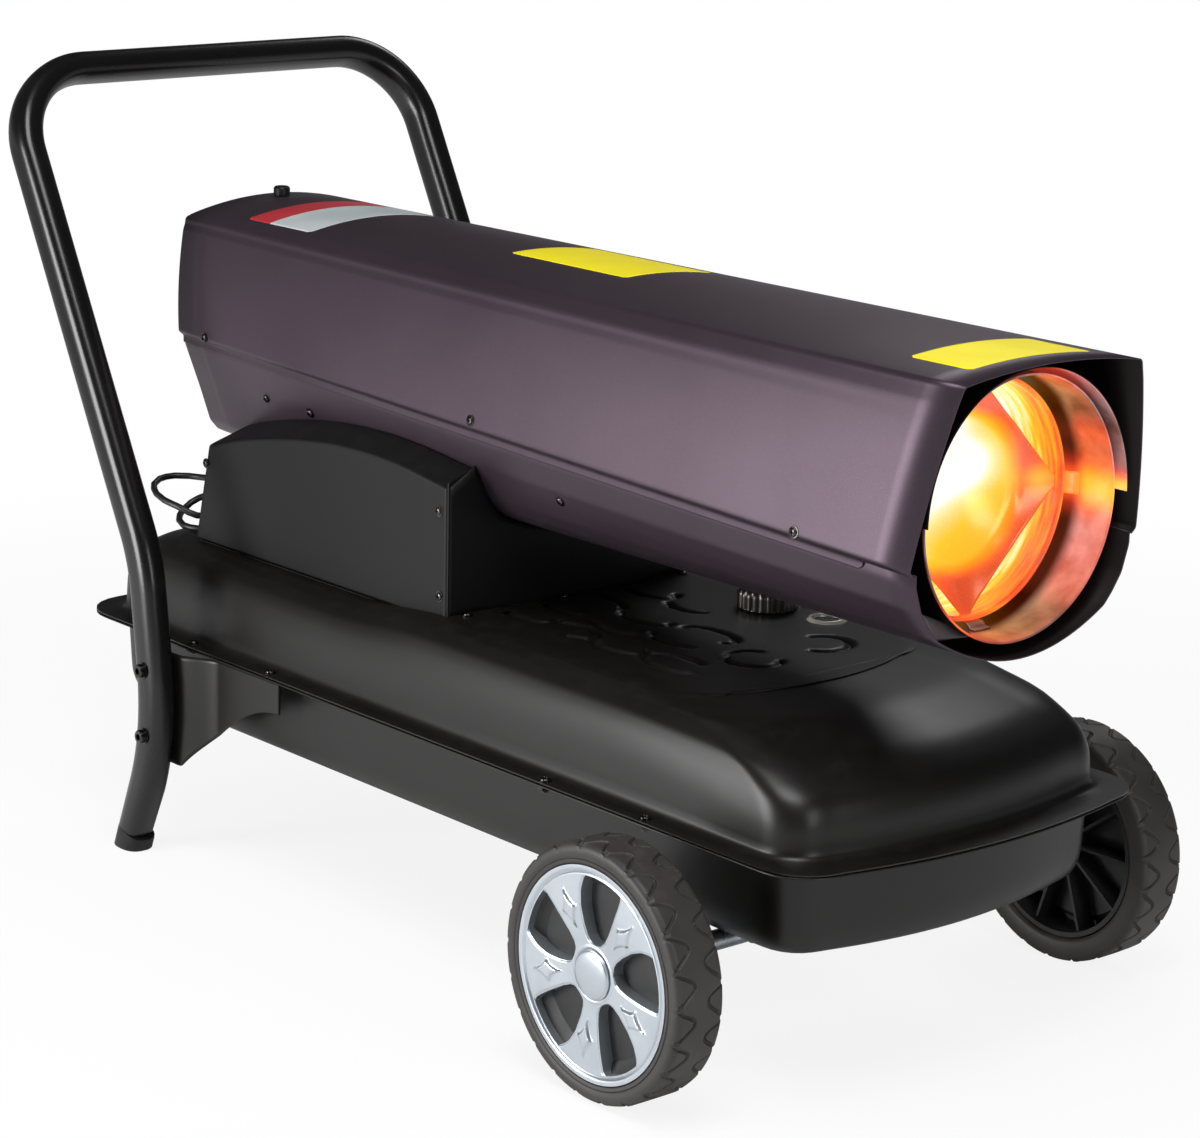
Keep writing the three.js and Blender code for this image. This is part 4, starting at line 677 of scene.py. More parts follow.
# ------------------------------------------------------------------ studio
@dataclass
class Studio:
    """Camera at the photograph's angle, plain floor, soft lamps. The eye is in millimetres from the axle."""

    azimuth: float = 49.46
    elevation: float = 14.32
    roll: float = 1.21
    lens: float = 106.97
    eye: Triple = (1881.5, -1880.7, 1041.4)

    def camera(self) -> None:
        """Sets the camera: its back axis from the angles, turned by the roll."""
        az, el, roll = (math.radians(v) for v in (self.azimuth, self.elevation, self.roll))
        back = np.array([math.sin(az) * math.cos(el), -math.cos(az) * math.cos(el), math.sin(el)])
        side = unit(np.cross(np.array([0.0, 0.0, 1.0]), back))
        top = np.cross(back, side)
        right = math.cos(roll) * side + math.sin(roll) * top
        up = -math.sin(roll) * side + math.cos(roll) * top
        data = bpy.data.cameras.new("camera")
        data.lens, data.sensor_width, data.sensor_fit = self.lens, 36.0, "HORIZONTAL"
        data.clip_end = 60.0
        seen = bpy.data.objects.new("camera", data)
        bpy.context.scene.collection.objects.link(seen)
        place = Matrix(np.column_stack([right, up, back]).tolist()).to_4x4()
        place.translation = Vector(to_frame(np.array(self.eye)))
        seen.matrix_world = place
        bpy.context.scene.camera = seen

    @staticmethod
    def lamp(name: str, at: Triple, to: Triple, size: Pair, power: float) -> None:
        """A soft rectangular lamp at a place in metres, looking at another."""
        data = bpy.data.lights.new(name, "AREA")
        data.shape, data.size, data.size_y, data.energy = "RECTANGLE", size[0], size[1], power
        lamp = bpy.data.objects.new(name, data)
        bpy.context.scene.collection.objects.link(lamp)
        lamp.location = at
        lamp.rotation_euler = (Vector(to) - Vector(at)).to_track_quat("-Z", "Y").to_euler()

    @staticmethod
    def floor() -> None:
        """A wide pale floor that keeps a faint shadow."""
        disc = Form("floor").grid(spun(np.array([[0.0, 1.0, 3.0, 7.0]]), around(96), -0.0004), wrap_u=True)
        mesh = bpy.data.meshes.new("floor")
        mesh.from_pydata(disc.points[0].tolist(), [], disc.quads[0].tolist())
        floor = bpy.data.objects.new("floor", mesh)
        bpy.context.scene.collection.objects.link(floor)
        s = Shade("floor_paper")
        links = s.tree.links
        seen = s.node("ShaderNodeLightPath", out="Is Camera Ray")
        s.surface(Base_Color=(0.86, 0.86, 0.86, 1.0), Roughness=0.9, Specular_IOR_Level=0.0)
        bright = s.node("ShaderNodeEmission", values={"Color": (1.0, 1.0, 1.0, 1.0), "Strength": 1.0})
        out = s.tree.nodes["Material Output"]
        x, y, _ = s.axes(s.place())
        far = (x * x + y * y).within(0.5, 3.0)
        blend = s.node("ShaderNodeMixShader", values={0: seen * (far * 0.14 + 0.86)})
        links.new(s.shader.outputs[0], blend.socket.node.inputs[1])
        links.new(bright.socket, blend.socket.node.inputs[2])
        links.new(blend.socket, out.inputs[0])
        mesh.materials.append(s.material)

    @staticmethod
    def world() -> None:
        """White for the camera; for gloss a pale horizon under a dim ceiling; a plain grey fill for the rest."""
        world = bpy.data.worlds.new("studio")
        world.use_nodes = True
        bpy.context.scene.world = world
        s = Nodes(world.node_tree)
        ground = s.tree.nodes["Background"]
        height = s.axes(s.node("ShaderNodeTexCoord", out="Generated"))[2]
        path = s.node("ShaderNodeLightPath").socket.node.outputs
        rays = ("Is Camera Ray", "Is Glossy Ray", "Is Transmission Ray")
        camera, glossy, through = (Wire(s, path[ray]) for ray in rays)
        room = s.mix(height.within(-0.02, 0.12), (0.42, 0.42, 0.43, 1.0), (0.045, 0.045, 0.05, 1.0))
        fill = s.mix(glossy.maximum(through), (0.32, 0.32, 0.33, 1.0), room)
        s.feed(ground.inputs["Color"], s.mix(camera, fill, (1.0, 1.0, 1.0, 1.0)))
        ground.inputs["Strength"].default_value = 1.0

    def build(self) -> None:
        """Camera, lamps, floor and world."""
        self.camera()
        self.floor()
        self.world()
        self.lamp("key", (0.9, -0.8, 2.5), (0.1, 0.0, 0.3), (1.2, 1.2), 40.0)
        self.lamp("side", (-0.75, -2.1, 0.5), (0.35, 0.0, 0.4), (0.9, 1.1), 44.0)
        self.lamp("front", (2.3, -0.2, 0.9), (0.3, 0.0, 0.2), (0.7, 1.0), 9.0)
        self.lamp("back", (-0.9, 1.9, 2.2), (0.0, 0.0, 0.4), (1.0, 0.8), 11.0)

        bpy.context.scene.view_settings.view_transform = "Standard"


# ------------------------------------------------------------------ mains cord
@dataclass
class MainsCord:
    """The lead from its strain relief to the plug, with the spare length in a tied hank on the tank."""

    radius: float = 3.0
    gland: Triple = (-711.74, -84.0, 303.0)
    lean: float = 21 / 89
    centre: Pair = (-752.0, 22.0)
    base: float = 268.6
    run: float = 56.0
    inner: float = 18.0
    pitch: float = 6.9
    layer: float = 6.8
    turns: float = 3.5
    plug_radius: float = 14.0
    plug_rear: float = 20.0
    plug_back: float = 20.0
    plug_gap: float = 2.4
    route: Array = field(default_factory=lambda: np.array([
        [-739.3, -84, 309.5], [-743.6, -84, 310.5], [-752.3, -83.8, 310.9], [-761.1, -83.5, 309.7],
        [-769.7, -83, 307.6], [-782.7, -83.1, 305], [-791, -84.9, 304.4], [-798.3, -89.1, 304.5],
        [-806, -99.7, 304.8], [-807.7, -107.9, 304.5], [-806.4, -115.9, 303.8], [-799.7, -126.3, 301.6],
        [-792.8, -130.9, 299], [-784.9, -133.4, 296.1], [-772.3, -133.6, 292.8], [-763.8, -132.2, 291.2],
        [-755.7, -129.9, 289.5], [-746.2, -124.5, 285.1], [-741.9, -118.7, 282.3], [-738.9, -111, 281.1],
        [-738.2, -98, 282.7], [-741.1, -89.9, 285.1], [-746.4, -83.5, 287.9], [-757.8, -78.2, 291.1],
        [-766.6, -77.9, 291.7], [-778.7, -82.1, 289.3], [-784.6, -87.6, 286], [-787.5, -94, 282.3],
        [-786.3, -104, 276.9], [-781.9, -110.5, 273.5], [-775.1, -115.7, 271], [-763, -119, 269],
        [-754.5, -117.7, 268.5], [-746.7, -113.6, 268.4], [-737.7, -103.6, 268.4], [-733.5, -95.7, 268.4],
        [-730.4, -87.2, 268.4], [-727.7, -74.1, 268.5], [-727.1, -56, 268.6], [-727.1, -45, 268.6],
        [-727.1, -34.3, 268.6]]))

    def hank(self) -> Array:
        """The hank's line: one turn to a layer, inwards on even layers and outwards on odd ones.

        Each turn first runs straight while it climbs a layer, then goes round half an arc, and so on.
        """
        share = 1 / 12
        turn = np.linspace(0.0, self.turns, int(self.turns * 24) + 1)
        level = np.floor(turn + 1e-9)
        f = turn - level
        drawn = np.clip((f - share) / (1 - share), 0, 1)
        radius = self.inner + self.pitch * np.where(level % 2 == 0, 1 - drawn, drawn)
        climb = np.where(level == 0, 0.0, level - 1 + np.clip(f / share, 0, 1))
        side = np.where(f < 0.5, 1.0, -1.0)
        g = np.where(f < 0.5, f, f - 0.5)
        a = np.pi * np.clip((g - share) / (0.5 - share), 0, 1)
        along = self.run * (2 * np.clip(g / share, 0, 1) - 1)
        x = self.centre[0] + side * radius * np.cos(a)
        y = self.centre[1] + side * (along + radius * np.sin(a))
        return np.stack([x, y, self.base + self.layer * climb], axis=1)

    def plug_place(self) -> Array:
        """Where the plug lies on the hank."""
        top = self.base + 3 * self.layer
        return np.array([self.centre[0], self.centre[1] - self.plug_back,
                         top + self.radius + self.plug_radius + self.plug_gap])

    def line(self) -> Array:
        """The whole centre line: free stretch, hank, and the tail that rises to the plug."""
        hank, plug = self.hank(), self.plug_place()
        last, end = hank[-1], plug[1] + self.plug_rear + 0.3
        t = (np.arange(1, 12) / 12)[:, None]
        tail = np.concatenate([mixed(last[0], plug[0], eased(t)), mixed(last[1], end + 6, t),
                               mixed(last[2], plug[2], eased(t))], axis=1)
        close = np.array([[plug[0], end + 6, plug[2]], [plug[0], end, plug[2]]])
        return np.concatenate([self.route[:-1], hank, tail, close])

    def build(self) -> None:
        """Gland, lead, tie and plug."""
        plug = self._plug()
        tie = self._tie()
        line = self.line()
        lead = Form("mains_lead").tube(line, self.radius, 12).made(
            "chassis", [Paint.CORD], "rubber", closed=True, replaces=["cord_lead", "cord_hank"])
        self._gland()

    def _gland(self) -> None:
        """Strain relief: a clamping nut against the panel and a ribbed sleeve that narrows to the lead."""
        t = np.linspace(0, 1, 57)
        ribs = 0.45 * (0.5 + 0.5 * np.cos(2 * np.pi * 7 * t)) * eased(t * 6) * eased((1 - t) * 8)
        sleeve = np.stack([mixed(7.0, 4.1, t) - ribs, 5.0 + 23.0 * t], axis=1)
        nut = [[0, -6], [7, -6], [7, 0.3], [10.0, 0.3], [10.5, 0.9], [10.5, 3.4], [10.0, 4.0], [7.4, 4.6]]
        profile = np.concatenate([nut, sleeve, [[3.3, 28.0], [0, 28.0]]])
        out = (-math.cos(math.atan(self.lean)), 0.0, math.sin(math.atan(self.lean)))
        Form("cord_strain_relief").turned(Stance(self.gland, out, (0, 1, 0)), profile, 36).made(
            "chassis", [Paint.PLASTIC], "black_plastic", closed=True, replaces=["cord_gland"])

    def _plug(self) -> bpy.types.Object:
        """Plug: a round moulded grip with finger ribs, a sleeve on the cord and two pins."""
        r, rear = self.plug_radius, self.plug_rear
        place = Stance(tuple(self.plug_place()), (0, -1, 0))
        t = np.linspace(0, 1, 40)
        ribs = 0.7 * (0.5 + 0.5 * np.cos(2 * np.pi * 6 * t)) * eased(t * 5) * eased((1 - t) * 5)
        body = np.stack([r - ribs, 19 * t], axis=1)
        back = [[0, -rear], [4.6, -rear], [5, -rear + 0.5], [5.4, -14], [7, -8], [9.5, -6], [r - 2, -4],
                [r - 0.4, -1.6]]
        profile = np.concatenate([back, body, [[r - 0.3, 20.6], [r - 1.2, 22], [0, 22]]])
        form = Form("mains_plug").turned(place, profile, 40)
        origin = np.array(place.at)
        for side in (-1, 1):
            pin = Stance(tuple(origin + np.array([side * 7.0, 0, 0])), (0, -1, 0))
            form.turned(pin, [[0, 21], [2.4, 21], [2.4, 38.6], [1.8, 39.8], [0, 40]], 20, mark=1)
        return form.made("chassis", [Paint.PLASTIC, Paint.CHROME], "black_plastic", closed=True, replaces=["plug"])

    def _tie(self) -> bpy.types.Object:
        """Flat strap once round the hank's layers, just outside them."""
        half = self.inner + self.pitch + self.radius + 1.1
        top = 3 * self.layer + self.radius + 0.6 + self.base - TANK_TOP + 0.5
        corners = np.array([[-half, 0.8], [half, 0.8], [half, top], [-half, top]])
        loop = bent(corners, 5.0, 64, closed=True)
        y = self.centre[1] - self.run + np.array([2.0, 2.6, 8.4, 9.0])
        strap = joined(loop[:, :1] + self.centre[0], y, loop[:, 1:] + TANK_TOP)
        return Form("cord_strap").grid(strap, wrap_u=True).made(
            "chassis", [Paint.PLASTIC], "black_plastic", thick=0.9, away=(self.centre[0], self.centre[1], 276.0),
            replaces=["cord_tie"])


# ------------------------------------------------------------------ barrel
@dataclass(frozen=True)
class End:
    """The barrel's section at one end: x of its top and crease, z of corner and fold, and the keel's (y, z)."""

    top: float
    crease: float
    corner: float
    fold: float
    bend_y: float
    bend_z: float
    mid_y: float
    mid_z: float


@dataclass
class Barrel:
    """The two sheet shells of the barrel with their hem, screws, knob and blank label places."""

    crown: float = 560.0
    bottom: float = 334.0
    corner_half: float = 94.0
    crease_half: float = 120.5
    joggle: float = 5.2
    sheet: float = 1.2
    hem_end: float = 103.0
    hem_round: float = 6.0
    rear: End = End(-794.0, -766.0, 546.0, 449.0, 83.0, 356.0, 98.0, 395.0)
    front: End = End(181.0, 161.0, 552.0, 417.0, 94.0, 364.0, 107.0, 384.0)

    def share(self, x: Number) -> Number:
        """How far along the barrel x lies, from the rear crease to the front one."""
        return (x - self.rear.crease) / (self.front.crease - self.rear.crease)

    def upper_half(self, end: End) -> Array:
        """Half of the upper section from the crown to the hem, (x, y, z), with the end's lean in x."""
        s = np.linspace(0, 0.9, 14)
        crown = np.stack([s * self.corner_half, mixed(self.crown, end.corner, s * s)], axis=1)
        corner = np.array([[self.corner_half - 2.2, end.corner + 0.2], [self.corner_half, end.corner - 1.9],
                           [self.corner_half + 1.0, end.corner - 5.4]])
        t = np.linspace(0.11, 1.0, 16)
        side = np.stack([mixed(self.corner_half, self.crease_half, t) + 12 * t * (1 - t),
                         mixed(end.corner, end.fold, t)], axis=1)
        tuck = self.crease_half - self.joggle
        hem = np.array([[self.crease_half - 0.4, end.fold - 0.9], [tuck + 0.1, end.fold - 4.8],
                        [tuck, end.fold - 11.0]])
        line = bent(np.concatenate([crown, corner, side, hem]), 1.5, 260)
        lean = np.clip((line[:, 1] - end.fold) / (end.corner - end.fold), 0, 1)
        return np.column_stack([mixed(end.crease, end.top, lean), line])

    def lower_half(self, end: End) -> Array:
        """Half of the lower section from the keel to the edge tucked inside the hem."""
        s = np.linspace(0, 0.95, 12)
        keel = np.stack([s * end.bend_y, self.bottom + (end.bend_z - self.bottom) * s * s], axis=1)
        tuck = self.crease_half - self.joggle - self.sheet - 0.3
        rest = np.array([[end.bend_y + 4, end.bend_z + 7], [end.mid_y, end.mid_z],
                         [tuck, end.fold - 12], [tuck, end.fold - 3]])
        line = bent(np.concatenate([keel, rest]), 3.5, 130)
        return np.column_stack([np.full(len(line), end.crease), line])

    def underside(self, x: Number) -> Array:
        """Half of the lower section at x, or one for each of several x."""
        share = np.asarray(self.share(x))[..., None, None]
        return mixed(self.lower_half(self.rear), self.lower_half(self.front), share)

    @staticmethod
    def swept(rear: Array, front: Array, stations: Array) -> Array:
        """Straight rules from the rear section to the front one, mirrored to both sides."""
        half = mixed(rear, front, stations[:, None, None])
        other = half[:, :0:-1] * np.array([1.0, -1.0, 1.0])
        return np.concatenate([other, half], axis=1)

    def upper_surface(self) -> Array:
        """The upper shell, its hem cut short with a rounded corner ahead of the lip's front end."""
        lip = np.array([99.0, 103, 104.5, 106, 107, 108, 108.6, 109, 111])
        stations = np.unique(np.concatenate([np.linspace(0, 1, 26), self.share(lip)]))
        grid = self.swept(self.upper_half(self.rear), self.upper_half(self.front), stations)
        fold = mixed(self.rear.fold, self.front.fold, stations)[:, None] - 4.4
        x = mixed(self.rear.crease, self.front.crease, stations)[:, None]
        share = np.sqrt(np.clip(1 - ((x - self.hem_end) / self.hem_round).clip(0, 1) ** 2, 0, 1))
        below = grid[..., 2] < fold
        grid[..., 2] = np.where(below, fold - (fold - grid[..., 2]) * share, grid[..., 2])
        return grid

    def side_stance(self, surface: Array, x: float, z: float, side: float = -1.0, lift: float = 0.0) -> Stance:
        """A stance on the nearest point of a surface at x and z on one side, looking outwards."""
        other = np.where(surface[..., 1] * side > 20, 0, 1e6)
        near = (surface[..., 0] - x) ** 2 + (surface[..., 2] - z) ** 2 + other
        i, j = np.unravel_index(np.argmin(near), near.shape)
        j = int(np.clip(j, 2, surface.shape[1] - 3))
        edge = surface[i, j + 2] - surface[i, j - 2]
        out = unit(np.array([0.0, edge[2], -edge[1]]))
        out = out * np.sign(out[1] * side)
        at = np.array([x, surface[i, j, 1], surface[i, j, 2]])
        return Stance(tuple(at + out * lift), tuple(out), (1, 0, 0))

    def label(self, name: str, x0: float, x1: float, y0: float, y1: float, paints: Sequence[Paint],
              split: float = 1.0) -> None:
        """A blank label lying on the crown: a grid with rounded corners, 0.25 mm above the sheet."""
        u, v = np.meshgrid(np.linspace(-1, 1, 41), np.linspace(-1, 1, 41), indexing="ij")
        half_x, half_y, round_by = (x1 - x0) / 2, (y1 - y0) / 2, 4.0
        over = np.clip(np.abs(v * half_y) - (half_y - round_by), 0, None)
        limit = half_x - round_by + np.sqrt(np.clip(round_by ** 2 - over ** 2, 0, None))
        x, y = u * limit + (x0 + x1) / 2, v * half_y + (y0 + y1) / 2
        share = np.clip((x - self.rear.top) / (self.front.top - self.rear.top), 0, 1)
        corner = mixed(self.rear.corner, self.front.corner, share)
        z = mixed(self.crown, corner, (y / self.corner_half) ** 2) + 0.25
        mark = (u[:-1, :-1] > 2 * split - 1).astype(int)
        Form(name).grid(joined(x, y, z), mark=mark).made(
            "chassis", paints, "barrel_metallic", thick=0.2, away=((x0 + x1) / 2, 0, 400))

    def build(self) -> None:
        """Shells, screws, knob and labels."""
        upper = self.upper_surface()
        lower = self.swept(self.lower_half(self.rear), self.lower_half(self.front), np.linspace(0, 1, 30))
        for half, surface in (("upper", upper), ("lower", lower)):
            Form(f"barrel_{half}_shell").grid(surface).made(
                "chassis", [Paint.BARREL, Paint.INSIDE], "barrel_metallic", thick=self.sheet, lining=1,
                away=(-300, 0, 440), replaces=[f"shell_{half}"])
        seam = [(-725, 449), (-343, 441), (41, 424)]
        under = [(-655, 402.5), (-588, 402), (-249, 388)]
        stances = [self.side_stance(upper, x, z, side) for x, z in seam for side in (-1.0, 1.0)]
        stances += [self.side_stance(lower, x, z, side) for x, z in under for side in (-1.0, 1.0)]
        screws("barrel_screws", stances)
        knob = [[0, -6], [4, -6], [4, 0.3], [7.1, 0.3], [7.5, 0.8], [7.5, 6.6], [7.1, 7.6], [6, 8.6], [0, 9]]
        Form("barrel_top_knob").turned(Stance((-776, 0, 560)), knob, 32).made(
            "chassis", [Paint.PLASTIC], "black_plastic", closed=True, replaces=["top_knob"])
        self.label("blank_label_rear", -723, -628, -75, 65, [Paint.LABEL_RED, Paint.LABEL_GREY], split=0.34)
        self.label("blank_label_middle", -412, -264, -25, 70, [Paint.LABEL_YELLOW])
        self.label("blank_label_front", 94, 156, -62, 66, [Paint.LABEL_YELLOW])


# ------------------------------------------------------------------ outlet and burner
@dataclass
class Outlet:
    """Liner, heat shield, combustion chamber and the four-pointed flame deflector."""

    axis: float = BARREL_AXIS
    liner: float = 100.0
    chamber: float = 91.0
    shield: float = 106.0
    tip: float = 96.5
    waist: float = 68.0

    def stance(self, x: float = 0.0) -> Stance:
        """On the barrel's axis, looking out of the mouth."""
        return Stance((x, 0.0, self.axis), (1, 0, 0), (0, 0, 1))

    def star(self) -> Array:
        """The deflector: a dish whose reach swings between waist and tip four times a turn, the tips pointed.

        Its depth grows as the square of the radius to 55 mm; beyond it the rim between the tips rises steeply
        while each tip folds out nearly flat.
        """
        a = around(360)
        s = np.linspace(0, 1, 46)[None]
        point = np.abs(np.cos(2 * a))
        reach = mixed(self.waist, self.tip, (1 - np.abs(np.sin(2 * a)) ** 0.8) ** 1.3)
        r = reach * s
        dish = 66 + 22 * (np.minimum(r, 55) / 55) ** 2
        steep = mixed(1.02, 0.42, point ** 3)
        fold = steep * np.clip(r - 55, 0, None) * eased((r - 50) / 12)
        crease = 1.1 * np.exp(-((r - 62) / 2.6) ** 2) * point ** 10
        x = np.minimum(dish + fold + crease, 106.5)
        return joined(x, r * np.sin(a), self.axis + r * np.cos(a))

    def tabs(self) -> Form:
        """Four bridges from the star's points over the chamber's lip to the liner."""
        form = Form("deflector_tabs")
        path = bent(np.array([[104.5, 92.5], [107.5, 94.6], [113.4, 95.6], [115.0, 96.8], [116.0, 98.6],
                              [121.5, 98.8]]), 0.8, 26)
        width = np.linspace(-8.5, 8.5, 9)
        for k in range(4):
            r, x = path[:, None, 1], path[:, None, 0]
            a = k * math.pi / 2 + width[None] / 95.0
            form.grid(joined(x, r * np.sin(a), self.axis + r * np.cos(a)))
        return form

    def build(self) -> None:
        """What the mouth shows: liner, heat shield, chamber, deflector with its tabs, and the gusset below."""
        r = self.liner
        lip = [[r - 1, 20], [r, 20], [r, 152.0], [r + 0.5, 153.4], [r + 0.9, 154.4], [r + 0.5, 155.0],
               [r - 0.6, 154.6], [r - 1, 153.0], [r - 1, 20]]
        outside = np.array([1, 1, 0, 0, 0, 0, 0, 0])
        Form("outlet_liner_ring").turned(self.stance(), lip, 128, mark=outside).made(
            "chassis", [Paint.LINER, Paint.INSIDE], "hot_steel", closed=True, replaces=["outlet_liner"])
        a = np.linspace(-math.pi / 2, math.pi / 2, 73)[:, None]
        x = np.array([[-300.0, -150, 0, 80, 120, 140, 155, 161, 163]])
        band = joined(x, self.shield * np.sin(a), self.axis + 1 + self.shield * np.cos(a))
        Form("heat_shield_band").grid(band).made(
            "chassis", [Paint.INSIDE, Paint.SHIELD], "hot_steel", thick=0.9, lining=1,
            away=(-60, 0, self.axis - 20), replaces=["heat_shield"])
        c = self.chamber
        bead = [[c + 1.0 + 1.3 * math.sin(v), 110.7 + 1.3 * math.cos(v)] for v in np.linspace(-2.6, 3.2, 14)]
        drum = [[30, -420], [c - 6, -420], [c, -414], [c, 108], *bead, [c - 1.2, 108.6], [c - 1.2, -413],
                [c - 7, -418.5], [30, -418.5], [30, -420]]
        Form("combustion_drum").turned(self.stance(), drum, 128).made(
            "chassis", [Paint.CHAMBER], "hot_steel", closed=True, replaces=["combustion_chamber"])
        Form("deflector_star").grid(self.star(), wrap_u=True).made(
            "chassis", [Paint.STAR], "hot_steel", thick=1.2, away=(300, 0, self.axis), replaces=["flame_deflector"])
        self.tabs().made("chassis", [Paint.TAB], "hot_steel", thick=1.0, away=(100, 0, self.axis))
        u, v = np.meshgrid(np.linspace(0, 1, 12), np.linspace(0, 1, 8), indexing="ij")
        y = mixed(mixed(-85.0, -36.0, u), mixed(-74.5, -33.0, u), v)
        z = mixed(mixed(377.0, 357.5, u), mixed(355.5, 352.5, u), v)
        gusset = joined(140.0 + 3.0 * v, y, z)
        Form("outlet_gusset").grid(gusset).made("chassis", [Paint.GREY_STEEL], "zinc", thick=1.0,
                                                away=(100, -60, 365))
        LOG.info("outlet built")


# ------------------------------------------------------------------ tank
@dataclass(frozen=True)
class Level:
    """A plan outline of the tank at one height, which falls to nose height towards the front.

    Ahead of the housing, from x -480 to -350, it comes to stand higher by the rise; from x -110 to 95 it
    changes to the nose height.
    """

    front: float
    rear: float
    half: float
    corner: float
    bow: float
    z: float
    nose: Optional[float] = None
    rise: float = 0.0

    def ring(self, count: int) -> Array:
        """The outline as count points: straight sides, bowed front, rounded corners."""
        turn = np.linspace(0, np.pi / 2, 9)
        h, c = self.half, self.corner
        xf = self.front - self.bow * ((h - c) / h) ** 2 - c
        y = np.linspace(-0.72, 0.72, 13) * h
        bowed = np.stack([self.front - self.bow * (y / h) ** 2, y], axis=1)
        right = np.stack([xf + c * np.cos(turn), h - c + c * np.sin(turn)], axis=1)
        back = np.stack([self.rear + c - c * np.sin(turn), h - c + c * np.cos(turn)], axis=1)
        left = right[::-1] * np.array([1, -1])
        rear = back[::-1] * np.array([1, -1])
        outline = bent(np.concatenate([bowed[6:], right, back, rear, left, bowed[:6]]), 12.0, count, closed=True)
        square = 1 - np.clip((outline[:, 0] - self.rear) / c, 0, 1)
        outline[:, 0] -= 3.0 * square * (1 - (outline[:, 1] / h) ** 2)
        fade = eased((outline[:, 0] + 110) / 205)
        nose = self.z if self.nose is None else self.nose
        lift = self.rise * eased((outline[:, 0] + 480) / 130)
        return np.column_stack([outline, mixed(self.z, nose, fade) + lift])


@dataclass(frozen=True)
class Bead:
    """A stiffening bead pressed into the tank's top: part of an oval round (x, y), from one angle to another."""

    x: float
    y: float
    reach_x: float
    reach_y: float
    start: float
    end: float

    def line(self) -> Array:
        """Its centre line at 48 angles."""
        a = np.radians(np.linspace(self.start, self.end, 48))
        return np.stack([self.x + self.reach_x * np.cos(a), self.y + self.reach_y * np.sin(a)], axis=1)


